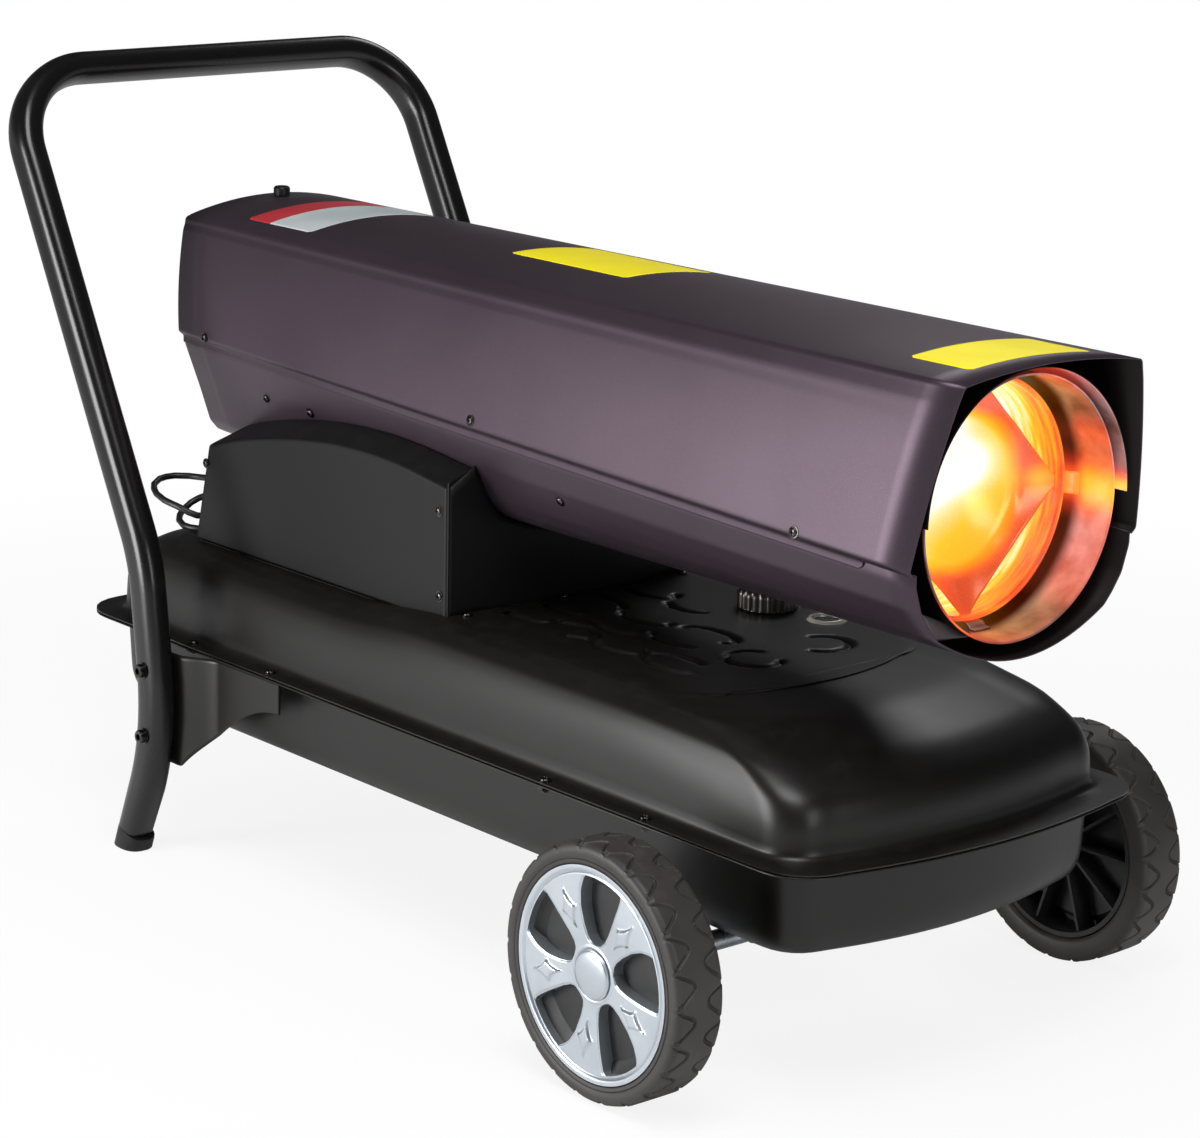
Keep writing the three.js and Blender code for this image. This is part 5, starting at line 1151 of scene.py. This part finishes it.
@dataclass
class Tank:
    """The pressed fuel tank with its flange, beads, filler and gauge."""

    fineness: int = 1960
    top: float = TANK_TOP
    rim: float = 191.3
    rim_under: float = 187.6
    fold: float = 7.0
    cap_lift: float = 7.4
    filler: Pair = (-222.0, 104.0)
    gauge: Pair = (-163.0, 116.0)
    flange: Level = Level(152, -832, 189, 42, 30, rim)
    upper: tuple[Level, ...] = (
        Level(124, -806, 170, 34, 28, rim), Level(122.5, -804, 168.8, 34, 28, 228, 214, 5),
        Level(117, -799, 166, 36, 30, 243, 229, 7), Level(86, -790, 160.5, 40, 34, 254, 246, 8.5),
        Level(30, -780, 151, 44, 38, 261, 260, 9), Level(-32, -768, 139, 46, 40, 264, 264, 9))
    lower: tuple[Level, ...] = (
        Level(123, -804, 168, 32, 28, rim_under), Level(121, -802, 166, 32, 28, 132),
        Level(117, -798, 162, 32, 28, 118), Level(107, -788, 152, 30, 27, 112))
    beads: tuple[Bead, ...] = (
        Bead(-322, -70, 30, 15, 150, 385), Bead(-320, -34, 26, 10, 190, 340), Bead(-262, -74, 28, 15, -70, 170),
        Bead(-206, -74, 30, 14, 185, 400), Bead(-250, -40, 26, 10, 200, 350), Bead(-140, -72, 34, 17, 60, 330),
        Bead(-322, 2, 30, 13, 10, 225), Bead(-256, -2, 28, 12, 180, 380), Bead(-190, -26, 28, 12, 170, 330),
        Bead(-186, 6, 30, 14, -30, 190), Bead(-112, -14, 24, 22, 120, 400), Bead(-322, 60, 30, 15, 130, 400),
        Bead(-262, 50, 22, 10, 200, 350), Bead(-112, 62, 22, 24, -60, 160))

    @staticmethod
    def inward(ring: Array, front: float, rear: float, rows: int) -> Array:
        """A flat base: the last ring drawn in to a line along the middle."""
        spine = np.column_stack([np.clip(ring[:, 0], rear, front), np.zeros(len(ring)), ring[:, 2]])
        t = np.linspace(0, 1, rows + 1)[1:, None, None]
        return ring[None] + (spine - ring)[None] * t

    @staticmethod
    def chosen(ring: Array) -> Array:
        """Which points of a fine outline are kept: every 2 mm beside the beads, fewer elsewhere."""
        half, picks = len(ring) // 2, [0]
        while picks[-1] < half:
            x, y = ring[picks[-1], :2]
            step = 2 if -446 < x < -66 and y > 90 else (4 if x > -66 else 9)
            picks.append(min(picks[-1] + step, half))
        near = np.array(picks)
        return np.concatenate([near, (len(ring) - near[1:-1])[::-1]])

    @staticmethod
    def across(ring: Array) -> Array:
        """The flat top: a row from each point of one side to its mirror image on the other."""
        half = len(ring) // 2
        far = np.concatenate([ring[:1], ring[:half - 1:-1]])
        u = np.concatenate([np.linspace(0, 0.13, 5)[:-1], np.linspace(0.13, 0.87, 89), np.linspace(0.87, 1, 5)[1:]])
        return ring[:half + 1, None] + (far - ring[:half + 1])[:, None] * u[None, :, None]

    def pressed(self, top: Array) -> Array:
        """Sinks the top along its beads: 3.4 mm, easing out from 1.8 to 4.8 mm beside each centre line."""
        flat = top[..., :2].reshape(-1, 2)
        sink = np.zeros(len(flat))
        for bead in self.beads:
            line = bead.line()
            gap = np.sqrt(((flat[:, None] - line[None]) ** 2).sum(-1)).min(axis=1)
            sink = np.maximum(sink, 3.4 * (1 - eased((gap - 1.8) / 3.0)))
        top = top.copy()
        top[..., 2] -= sink.reshape(top.shape[:2])
        return top

    def side(self, foot: Array, walls: Array, turned_by: float, rows: int) -> Array:
        """From the rim's turned edge over the rim and up, or down, the wall."""
        edge = np.stack([foot + np.array([0, 0, turned_by]), foot])
        return np.concatenate([edge, bent(np.concatenate([foot[None], walls]), self.fold, rows)[1:]])

    def skin(self) -> tuple[Array, Array, Array]:
        """The upper half's walls, its top, and the cells of the top kept round the two holes."""
        fine = self.upper[-1].ring(self.fineness)
        picks = self.chosen(fine)
        walls = np.stack([level.ring(self.fineness)[picks] for level in self.upper])
        run = self.side(self.flange.ring(self.fineness)[picks], walls, -1.2, 28)
        flat = self.across(run[-1])
        middle = (flat[:-1, :-1] + flat[1:, 1:]) / 2
        keep = np.ones(middle.shape[:2], bool)
        for (x, y), hole in ((self.filler, 23.5), (self.gauge, 14.0)):
            keep &= (middle[..., 0] - x) ** 2 + (middle[..., 1] - y) ** 2 > hole ** 2
        return run, self.pressed(flat), keep

    def build(self) -> None:
        """Both halves and everything on them."""
        run, top, keep = self.skin()
        Form("tank_upper_half").grid(run, wrap_v=True).grid(top, keep=keep).made(
            "chassis", [Paint.TANK], "tank_black", thick=1.2, crisp=60, away=(-340, 0, 120), replaces=["tank_upper"])
        n = 280
        foot = self.flange.ring(n)
        foot[:, 2] = self.rim_under
        walls = np.stack([level.ring(n) for level in self.lower])
        run = self.side(foot, walls, 1.4, 26)
        base = self.inward(walls[-1], 107 - 152, -788 + 152, 8)
        Form("tank_lower_half").grid(np.concatenate([run, base]), wrap_v=True).made(
            "chassis", [Paint.TANK], "tank_black", thick=1.2, crisp=60, away=(-340, 0, 260), replaces=["tank_lower"])
        near = [(-658, -180), (-540, -180), (-164, -183), (-46, -182)]
        spots = near + [(x, -y) for x, y in near] + [(-822, -70), (-822, 70)]
        screws("flange_screws", [Stance((x, y, self.rim)) for x, y in spots], radius=4.0)
        nuts = Form("flange_nuts")
        nut = [[0, 5.5], [2.6, 5.5], [3, 5], [3, 3.4], [5.6, 3.4], [6.2, 2.9], [6.2, 0.3], [0, 0.3]]
        for x, y in spots:
            nuts.turned(Stance((x, y, 187.4), (0, 0, -1)), nut, 6)
        nuts.made("chassis", [Paint.SCREW], "zinc", closed=True, crisp=20)
        self._filler()
        self._gauge()

    def _filler(self) -> None:
        """Neck with a wide black flange, and a plated cap with grip flutes, lifted clear of the flange; the cap's
        colour is toned down to paint the shade it lies in under the barrel.
        """
        x, y = self.filler
        neck = [[20.5, -18], [22, -18], [22, 7.6], [28.6, 7.6], [29, 8.0], [29, 9.6], [28.4, 10.4], [22, 10.8],
                [22, 21.0], [21.6, 21.4], [20.5, 21.4], [20.5, -18]]
        Form("filler_collar").turned(Stance((x, y, self.top)), neck, 72).made(
            "chassis", [Paint.TANK], "zinc", closed=True, replaces=["filler_neck"])
        under = [[0, 14.6], [22.6, 14.6], [22.6, 4], [25.4, 4], [26, 4.6]]
        wall = [[26, h] for h in np.linspace(5.2, 16.4, 8)]
        crown = [[25.6, 17.4], [24.4, 19.4], [22, 20.6], [17, 21.6], [16.4, 23.0], [9, 23.8], [0, 24]]
        profile = np.array(under + wall + crown)
        band = (profile[:, 0] > 25.3) & (profile[:, 1] > 4.3)
        local = fluted(profile, 192, band, depth=1.1, flutes=24, power=3)
        Form("filler_cap_plated").grid(Stance((x, y, self.top + self.cap_lift)).put(local), wrap_u=True).made(
            "filler_cap", [Paint.CAP_METAL], "chrome", closed=True, replaces=["fuel_cap"])

    def _gauge(self) -> None:
        """Fuel gauge: plated bezel, pale dial with ticks and a clear lens."""
        x, y = self.gauge
        at = Stance((x, y, self.top))
        ring = [[10, -14], [12, -14], [12, 5.6], [16.6, 5.6], [17, 6.2], [17, 9.6], [16.6, 10.3], [15.6, 10.9],
                [15.0, 12.2], [14.4, 12.6], [12.8, 12.6], [12.5, 10.2], [10, 10.2], [10, -14]]
        Form("gauge_ring").turned(at, ring, 72).made(
            "chassis", [Paint.BEZEL], "chrome", closed=True, replaces=["gauge_bezel"])
        Form("gauge_dial").turned(at, [[0, 0.9], [9.9, 0.9], [9.9, 0.3], [0, 0.3]], 48).made(
            "chassis", [Paint.LABEL_GREY], "lens", closed=True)
        ticks = Form("gauge_ticks")
        for k in range(7):
            a = math.radians(-90 + 15 * k)
            u = np.linspace(6.6, 8.8, 3)[:, None]
            v = np.linspace(-0.25, 0.25, 2)[None]
            local = joined(u * math.cos(a) - v * math.sin(a), u * math.sin(a) + v * math.cos(a), 1.0)
            ticks.grid(at.put(local))
        ticks.made("chassis", [Paint.PLASTIC], "lens", thick=0.08, away=(x, y, 200))
        s = Shade("gauge_glass")
        glass = s.surface(Base_Color=(0.97, 0.98, 0.98, 1.0), Roughness=0.03 + s.noise(60.0, 3.0) * 0.05,
                          Normal=s.relief(s.noise(120.0, 1.0), 0.004), Transmission_Weight=1.0, IOR=1.45)
        dome = [[0, 9.4], [12, 9.4], [12, 10.8], [9, 11.4], [5, 11.9], [0, 12.0]]
        lens = Form("gauge_window").turned(at, dome, 48).made(
            "chassis", [Paint.CHROME], "lens", closed=True, replaces=["gauge_lens"])
        lens.data.materials[0] = glass


# ------------------------------------------------------------------ wheels
@dataclass
class Wheels:
    """Two wheels on an axle: moulded tyre, black core, five-spoke silver trim and a hub cap."""

    radius: float = 100.0
    width: float = 45.0
    offset: float = 251.0
    trim: float = 83.5
    hub: float = 17.0
    lugs: int = 22
    spokes: int = 5
    ribs: int = 10
    window_at: float = 12.0
    window_depth: float = 12.6

    def tyre_grid(self) -> Array:
        """Tyre by angle and by place across it, with a wavy groove that cuts lugs on both shoulders.

        The groove's centre swings across the tread as a skewed sine. The surface drops 2.3 mm within 0.6 mm of
        it, easing out over 1 mm more, and 0.4 mm between it and the shoulder.
        """
        h = self.width / 2
        side = np.array([[80, h - 5], [84.3, h - 5], [84.4, h - 0.9], [84.9, h - 0.5], [87.4, h - 0.2],
                         [88.0, h - 0.9], [88.6, h - 0.2], [94.6, h], [97.6, h - 0.8], [99.3, h - 2.6],
                         [100, h - 5.0]])
        tread = np.column_stack([np.full(56, 100.0), np.linspace(h - 5.4, 5.4 - h, 56)])
        inner = np.array([[100, 5 - h], [99.3, 2.6 - h], [97.6, 0.8 - h], [94.6, -h], [84, -h], [81, 1.2 - h],
                          [80, 3 - h]])
        profile = np.concatenate([side, tread, inner, [[80, h - 5]]])
        count = 1056
        a = around(count)
        r, w = profile[None, :, 0], profile[None, :, 1]
        drop = np.zeros((count, len(profile)))
        for sign, shift in ((1.0, 0.0), (-1.0, 0.5)):
            turn = (-self.lugs * a / (2 * np.pi) + shift) % 1.0
            swing = 0.5 - 0.5 * np.cos(2 * np.pi * turn ** 0.72)
            edge = sign * (h - 1.4 - 15.0 * swing)
            slope = np.gradient(edge[:, 0]) / (2 * np.pi * 100 / count)
            gap = np.abs(w - edge) / np.sqrt(1 + slope[:, None] ** 2)
            drop = np.maximum(drop, 2.3 * (1 - eased((gap - 0.6) / 1.0)))
            outside = eased((sign * (w - edge) - 0.3) / 0.8)
            drop = np.maximum(drop, 0.4 * outside)
        return spun(r - drop * eased((r - 96.5) / 2.0), a, w)

    def window(self, r: Array) -> tuple[Array, Array]:
        """Angles of a window's two edges at radius r: one nearly straight, the other bowed."""
        at = [23.6, 24.2, 25.8, 30, 38, 52, 64, 72, 74.6, 76.0]
        low = np.interp(r, at, [2.0, -6, -12.5, -17.5, -19.4, -19.4, -19.0, -18.4, -17.8, -16.6])
        high = np.interp(r, at, [2.0, 10, 16.0, 20.6, 22.6, 22.4, 19.6, 16.0, 14.4, 13.2])
        return np.radians(low + self.window_at)[:, None], np.radians(high + self.window_at)[:, None]

    def trim_grid(self) -> tuple[Array, Array]:
        """Trim by radius and angle, its grid lines following the windows' edges.

        Each spoke carries a raised four-pointed facet, up to 1.9 mm high, where
        (|r - 52| / 17)^0.7 + (side / 9.5)^0.7 falls below one.

        Returns:
            Points in the wheel's own axes and the cells' marks: 1 where the window's floor lies.
        """
        top = self.width / 2 - 0.7
        hub = np.concatenate([[17.3, 17.3, 18.5], np.linspace(20, 23.2, 6), [23.5]])
        cut = 23.6 + 52.4 * np.linspace(0.004, 1, 46) ** 1.4
        rim = np.array([76.0, 76.6, 77.2, 77.8, 78.4, 79.2, 80.2, 81.8, 83.0, 83.5, 83.5, 83.5])
        r = np.concatenate([hub, cut, rim])
        inside = np.concatenate([np.zeros(len(hub)), np.ones(len(cut)), np.zeros(len(rim))])[:, None]
        spoke = np.concatenate([np.linspace(0, 0.93, 20), [0.965, 1.0]])[None]
        floor = np.concatenate([[0.006, 0.012], np.linspace(0.03, 0.97, 12), [0.988, 0.994]])[None]
        low, high = self.window(r)
        pitch = math.pi / self.spokes
        middle = np.radians(self.window_at)
        first = middle - pitch + (low - middle + pitch) * spoke
        bottom = low + (high - low) * floor
        last = middle + pitch - (middle + pitch - high) * spoke[:, ::-1]
        angle = np.concatenate([first, bottom, last], axis=1)
        deep = np.zeros((1, angle.shape[1]))
        deep[0, spoke.shape[1] + 1:spoke.shape[1] + floor.shape[1] - 1] = 1.0
        rr = np.broadcast_to(r[:, None], angle.shape)
        away = (pitch - np.abs(angle - middle)) * rr
        edge = np.maximum(low - angle, angle - high) * rr
        q = (np.abs(rr - 52) / 17.0) ** 0.7 + (away / 9.5) ** 0.7
        facet = 1.9 * eased((1 - q) / 0.2)
        ring = 1.1 * eased((rr - 78.6) / 1.2) - 0.6 * np.exp(-((rr - 77.9) / 0.6) ** 2)
        ring = ring + 0.5 * np.exp(-((rr - 21.2) / 0.9) ** 2)
        h = top - 1.0 - 1.6 * eased((60 - rr) / 40) + facet + ring
        h = h - 0.9 * (1 - eased(edge / 1.6)) * inside
        h = h - deep * inside * (h - (top - self.window_depth))
        h[0], h[-1], h[-2] = top - 4.0, top - 4.0, top - 2.0
        parts = [spun(rr, angle + 2 * pitch * k, h) for k in range(self.spokes)]
        mark = ((h[:-1, :-1] + h[1:, 1:]) / 2 < top - self.window_depth + 0.6).astype(int)
        marks = [np.pad(mark, ((0, 0), (0, 1)))] * self.spokes
        return np.concatenate(parts, axis=1), np.concatenate(marks, axis=1)

    def core(self, form: Form, put: Stance) -> Form:
        """Core: rim barrel, a web set back behind the trim, a hub tube and ten ribs open to the inner side."""
        front, back = 8.6, 3 - self.width / 2
        body = [[8.2, front], [66, front], [78.2, 15.8], [79, 16.4], [79, back], [75, back], [74.4, 12],
                [66, front - 3.5], [15, front - 3.5], [14, back - 2], [8.2, back - 2], [8.2, front]]
        form.turned(put, body, 72)
        u = np.array([[13.0], [30.0], [50.0], [68.0], [74.8]])
        loop = np.array([[-1.25, back + 6], [1.25, back + 6], [1.25, front - 2], [-1.25, front - 2]])
        for k in range(self.ribs):
            a = 2 * math.pi * k / self.ribs
            x = u * math.cos(a) - loop[:, 0] * math.sin(a)
            y = u * math.sin(a) + loop[:, 0] * math.cos(a)
            form.grid(put.put(joined(x, y, loop[:, 1])), wrap_v=True)
        return form

    def build(self) -> None:
        """Both wheels and the axle."""
        trim, marks = self.trim_grid()
        tyre = self.tyre_grid()
        seat = self.width / 2 - 4 - 1 + 0.3
        t = np.linspace(0, 1, 16)
        cap = np.concatenate([[[0, seat], [16.9, seat], [16.9, seat + 1.6], [19.3, seat + 1.6], [19.6, seat + 2.1],
                               [19.4, seat + 2.9], [18.9, seat + 3.2], [18.6, seat + 2.8]],
                              np.stack([18.3 * np.cos(t * math.pi / 2) ** 0.8,
                                        seat + 2.9 + 2.4 * np.sin(t * math.pi / 2)], axis=1)])
        for side, sign in (("near", -1.0), ("far", 1.0)):
            put = Stance((0.0, sign * self.offset, self.radius), (0.0, sign, 0.0), (1.0, 0.0, 0.0))
            Form(f"tyre_tread_{side}").grid(put.put(tyre), wrap_u=True).made(
                f"wheel_{side}", [Paint.RUBBER], "tyre", closed=True, crisp=50, replaces=[f"tyre_{side}"])
            Form(f"trim_spokes_{side}").grid(put.put(trim), wrap_v=True, mark=marks).made(
                f"wheel_{side}", [Paint.SILVER, Paint.DARK_CORE], "silver_plastic", crisp=42,
                away=(0, sign * (self.offset - 60), self.radius), replaces=[f"wheel_trim_{side}"])
            self.core(Form(f"core_ribbed_{side}"), put).made(
                f"wheel_{side}", [Paint.DARK_CORE], "black_plastic", closed=True, replaces=[f"wheel_core_{side}"])
            Form(f"hub_dome_{side}").turned(put, cap, 64).made(
                f"wheel_{side}", [Paint.SILVER], "silver_plastic", closed=True, replaces=[f"hub_cap_{side}"])
            LOG.info("wheel %s at %s", side, put.at)
        end = self.offset + self.width / 2 - 4 - 2.5
        rod = [[0, -end], [7.2, -end], [8, -end + 0.8], [8, end - 0.8], [7.2, end], [0, end]]
        Form("axle_bar").turned(Stance((0, 0, 100), (0, 1, 0)), rod, 40).made(
            "chassis", [Paint.ZINC], "zinc", closed=True, replaces=["axle_rod"])


# ------------------------------------------------------------------ handle and legs
@dataclass
class Handle:
    """One oval tube bent into bar and legs, with foot caps, bolts and brackets."""

    wide: float = 34.0
    deep: float = 27.0
    leg_y: float = 219.5
    bar: Pair = (-889.0, 672.8)
    knee: Pair = (-671.5, 270.0)
    shin: Pair = (-652.5, 117.0)
    foot: Pair = (-698.0, 0.0)
    tube_end: float = 7.0

    def line(self) -> Array:
        """Centre line from the near foot over the bar to the far foot."""
        foot, shin, knee, corner = (np.array([x, -self.leg_y, z])
                                    for x, z in (self.foot, self.shin, self.knee, self.bar))
        middle = np.array([self.bar[0], 0.0, self.bar[1]])
        arcs = [fillet(foot, shin, knee, 220, 14), fillet(shin, knee, corner, 150, 12),
                fillet(knee, corner, middle, 77, 22)]
        straight = mixed(arcs[1][-1], arcs[2][0], np.linspace(0, 1, 14)[1:-1, None])
        near = np.concatenate([foot[None], arcs[0], arcs[1], straight, arcs[2]])
        bar = mixed(near[-1], middle, np.linspace(0, 1, 8)[1:, None])
        near = np.concatenate([near, bar[:-1]])
        far = near[::-1] * np.array([1, -1, 1])
        return np.concatenate([near, middle[None], far])

    def rings(self, path: Array, wide: float, deep: float, sides: int) -> Array:
        """Oval rings: a superellipse of power 2.6, wide across the bend's plane."""
        tangent = unit(np.gradient(path, axis=0))
        slope = np.where(np.arange(len(path)) <= len(path) / 2, 1.0, -1.0)[:, None]
        leg = tangent * np.array([1.0, 0.0, 1.0]) * slope
        bar_run = unit(np.array([self.bar[0] - self.knee[0], 0.0, self.bar[1] - self.knee[1]]))
        size = np.linalg.norm(leg, axis=1, keepdims=True)
        run = np.where(size > 0.02, leg / np.maximum(size, 1e-9), bar_run)
        across = unit(np.cross(run, np.array([0.0, 1.0, 0.0])))
        inplane = unit(np.cross(tangent, across))
        power = 2.6
        c, s = np.cos(around(sides)), np.sin(around(sides))
        q = (np.abs(c) ** power + np.abs(s) ** power) ** (-1 / power)
        return path[:, None] + across[:, None] * (c * q * wide / 2) + inplane[:, None] * (s * q * deep / 2)

    def cap(self, side: float) -> Form:
        """Foot cap: the tube's section hardly larger, from a rounded lip down to the floor."""
        down = unit(np.array([self.foot[0] - self.shin[0], 0.0, self.foot[1] - self.shin[1]]))
        origin = np.array([self.foot[0], side * self.leg_y, 0.0])
        up_path = origin - down * np.linspace(19, 13, 5)[:, None]
        grow = np.array([0.5, 0.9, 1.1, 1.1, 1.1])
        rings = [self.rings(np.stack([p - down, p, p + down]), self.wide + g, self.deep + g, 40)[1]
                 for p, g in zip(up_path, grow)]
        last = rings[-1]
        fall = -(last[:, 2:3]) / down[2]
        ground = last + down * fall
        near = last + down * (fall - 1.2)
        soft = ground + (ground.mean(0) - ground) * 0.05
        rings += [near, soft]
        ends = [np.broadcast_to(ring.mean(0), ring.shape) for ring in (rings[0], soft)]
        name = "near" if side < 0 else "far"
        return Form(f"foot_boot_{name}").grid(np.stack([ends[0], *rings, ends[1]]), wrap_v=True)

    def bracket(self, side: float) -> Form:
        """Gusset: a plate with a hollow lower edge, bent out to meet the leg.

        The plate stands at y = 188 and eases out to 205.2 by the leg; its lower edge falls by 74 mm times the
        1.85th power of the share of the way back, and rises again by 14 mm in the last 6.
        """
        x = np.linspace(-690, -517, 110)
        low = 160 - 74 * np.clip((-517 - x) / 125, 0, 1) ** 1.85
        low = low + 14 * np.clip((-684 - x) / 6, 0, 1)
        v = np.linspace(0, 1, 24)[None]
        z = mixed(low[:, None], 187.0, v)
        y = side * (188.0 + 17.2 * eased((-606 - x) / 42)[:, None])
        name = "near" if side < 0 else "far"
        return Form(f"leg_gusset_{name}").grid(joined(x[:, None], y, z))

    def build(self) -> None:
        """Tube, caps, gussets and bolts."""
        rings = self.rings(self.line(), self.wide, self.deep, 40)
        low, high = rings[0], rings[-1]
        close = np.stack([np.broadcast_to(low.mean(0), low.shape), *rings, np.broadcast_to(high.mean(0), high.shape)])
        close[:, :, 2] = np.maximum(close[:, :, 2], self.tube_end)
        Form("handle_tube").grid(close, wrap_v=True).made(
            "chassis", [Paint.HANDLE], "handle_black", closed=True, crisp=60, replaces=["handle_frame"])
        for side, name in ((-1.0, "near"), (1.0, "far")):
            self.cap(side).made("chassis", [Paint.PLASTIC], "black_plastic", closed=True, crisp=50,
                                replaces=[f"foot_cap_{name}"])
            self.bracket(side).made("chassis", [Paint.TANK], "tank_black", thick=2.2, crisp=60,
                                    away=(-600, 0, 150), replaces=[f"leg_bracket_{name}"])
            for level, z in (("low", 115.0), ("high", 175.0)):
                out = self.deep / 2 + 0.3
                bolt = [[0, -22], [4, -22], [4, out], [7.2, out], [7.2, out + 0.9], [6.0, out + 1.0],
                        [6.1, out + 4.4], [5.5, out + 5.3], [3.0, out + 5.5], [2.9, out + 2.6], [0, out + 2.4]]
                Form(f"leg_bolt_{level}_{name}_head").turned(
                    Stance((-658.0, side * self.leg_y, z), (0, side, 0)), bolt, 36).made(
                    "chassis", [Paint.SCREW], "zinc", closed=True, crisp=30, replaces=[f"leg_bolt_{level}_{name}"])


# ------------------------------------------------------------------ housing and controls
@dataclass
class Housing:
    """The box under the barrel: folded side covers with an opening for the switch, a front panel and the thermostat
    knob.
    """

    half: float = 132.0
    front: float = -356.9
    base: float = 268.0
    sheet: float = 1.5
    arch: Array = field(default_factory=lambda: np.array([
        [-701, 357], [-664, 368], [-620, 377.5], [-570, 386], [-519, 391.5], [-468, 393], [-420, 390.5],
        [-356.9, 382]]))
    knob: Pair = (-470.0, 330.0)
    switch: Pair = (-585.0, 325.0)

    def cover(self, side: float, barrel: Barrel) -> Array:
        """A side cover: up the face, over the arch and along the sloping flange to the barrel."""
        line = bent(self.arch, 30.0, 90)
        x_top, z_top = line[:, 0], line[:, 1]
        under = barrel.underside(x_top)
        level = z_top + 12.5
        near = np.abs(under[:, 20:, 2] - level[:, None]).argmin(axis=1)
        y_in = under[np.arange(len(line)), 20 + near, 1] + 1.6
        heights = [self.base + (z_top - self.base) * k for k in (0.0, 0.25, 0.5, 0.75, 0.9)]
        rungs = [joined(x_top, self.half, z) for z in (*heights, z_top - 0.2)]
        rungs += [joined(x_top, y_in, level)]
        grid = bent(np.stack(rungs), 2.6, 96)
        height = np.clip((grid[..., 2] - self.base) / 89.0, 0, 1)
        lean = mixed(-722.0, -701.0, height)
        stretch = (grid[..., 0] - self.front) / (-701.0 - self.front)
        grid[..., 0] = self.front + stretch * (lean - self.front)
        grid[..., 1] *= side
        return grid

    def build(self, barrel: Barrel) -> None:
        """Covers, panels, screws and controls."""
        for side, name in ((-1.0, "near"), (1.0, "far")):
            grid = self.cover(side, barrel)
            middle = (grid[:-1, :-1] + grid[1:, 1:]) / 2
            keep = np.ones(middle.shape[:2], bool)
            if side > 0:
                kx, kz = self.knob
                sx, sz = self.switch
                keep &= ~((np.abs(middle[..., 0] - sx) < 11.5) & (np.abs(middle[..., 2] - sz) < 15.5))
                keep &= (middle[..., 0] - kx) ** 2 + (middle[..., 2] - kz) ** 2 > 36.0
            Form(f"cover_sheet_{name}").grid(grid, keep=keep).made(
                "chassis", [Paint.HOUSING], "housing_charcoal", thick=self.sheet - 0.3, crisp=50,
                away=(-530, 0, 320), replaces=[f"side_cover_{name}"])
        places = [(-368, 361), (-366, 289), (-706, 339)]
        heads = [Stance((x, side * (self.half + 0.1), z), (0, side, 0)) for x, z in places for side in (-1, 1)]
        heads += [Stance((-347.5, y, 274.6)) for y in (-117, -14, 120)]
        screws("cover_screws", heads, radius=3.4)
        self._front(barrel)
        self._controls()

    def _front(self, barrel: Barrel) -> None:
        """Front sheet with rounded side bends and a narrow ledge at its foot.

        Its top edge is the lower of the barrel's underside and a slope of 0.6 from the covers' top.
        """
        plan = bent(np.array([[-364.0, -131.3], [-354.4, -131.3], [-354.4, 131.3], [-364.0, 131.3]]), 3.4, 300)
        under = barrel.underside(-354.4)
        y = np.abs(plan[:, 1])
        top = np.minimum(np.interp(y, under[:, 1], under[:, 2]) - 0.5, 382.0 + (132.0 - y) * 0.6)
        v = np.linspace(0, 1, 14)[None]
        z = mixed(270.0, top[:, None], v)
        sheet = joined(plan[:, :1], plan[:, 1:], z)
        Form("housing_front_sheet").grid(sheet).made("chassis", [Paint.HOUSING], "housing_charcoal", thick=1.0,
                                                     crisp=60, away=(-500, 0, 300))
        u, w = np.meshgrid(np.linspace(-129, 129, 40), np.linspace(0, 1, 5), indexing="ij")
        ledge = joined(-354.0 + 13.0 * w, u, 273.6 + 0.6 * w)
        Form("housing_foot_ledge").grid(ledge).made("chassis", [Paint.HOUSING], "housing_charcoal", thick=1.0,
                                                    away=(-348, 0, 200))

    def _controls(self) -> None:
        """Fluted thermostat knob with a pointer and a scale of dots."""
        kx, kz = self.knob
        put = Stance((kx, self.half, kz), (0, 1, 0))
        skirt = [[3.3, 1], [19.4, 1], [20, 1.6], [19.6, 3.6], [15.6, 5.4]]
        grip = [[14.0 - 1.4 * t, 6.2 + 12.4 * t] for t in np.linspace(0, 1, 10)]
        profile = np.array(skirt + grip + [[12.0, 19.6], [10.4, 20.5], [0, 20.5], [0, 7.4], [3.3, 7.4], [3.3, 1]])
        band = (profile[:, 1] > 5.8) & (profile[:, 0] > 11.0)
        local = fluted(profile, 160, band, depth=0.9, flutes=20, power=2)
        form = Form("thermostat_grip").grid(put.put(local), wrap_u=True)
        u, v = np.meshgrid(np.linspace(4.0, 11.6, 6), np.linspace(-0.7, 0.7, 3), indexing="ij")
        form.grid(put.put(joined(u, v, 20.62)), mark=1)
        form.made("thermostat_dial", [Paint.PLASTIC, Paint.MARK], "black_plastic", crisp=35,
                  away=(kx, self.half - 30, kz), replaces=["thermostat_knob"])
        dots = Form("thermostat_scale")
        for k in range(11):
            turn = math.radians(-45 + 27 * k)
            at = Stance((kx + 25.5 * math.cos(turn), self.half + 0.1, kz - 25.5 * math.sin(turn)), (0, 1, 0))
            dots.turned(at, [[0, 0.15], [0.5 + 0.12 * k, 0.15], [0.5 + 0.12 * k, 0]], 16)
        dots.made("chassis", [Paint.MARK], "housing_charcoal", away=(kx, self.half - 10, kz))


def main() -> None:
    """Builds the heater in order."""
    logging.basicConfig(level=logging.INFO, format="%(name)s: %(message)s")
    Studio().build()
    MainsCord().build()
    barrel = Barrel()
    barrel.build()
    Outlet().build()
    Tank().build()
    Wheels().build()
    Handle().build()
    Housing().build(barrel)
    dress()


if __name__ == "__main__":
    main()
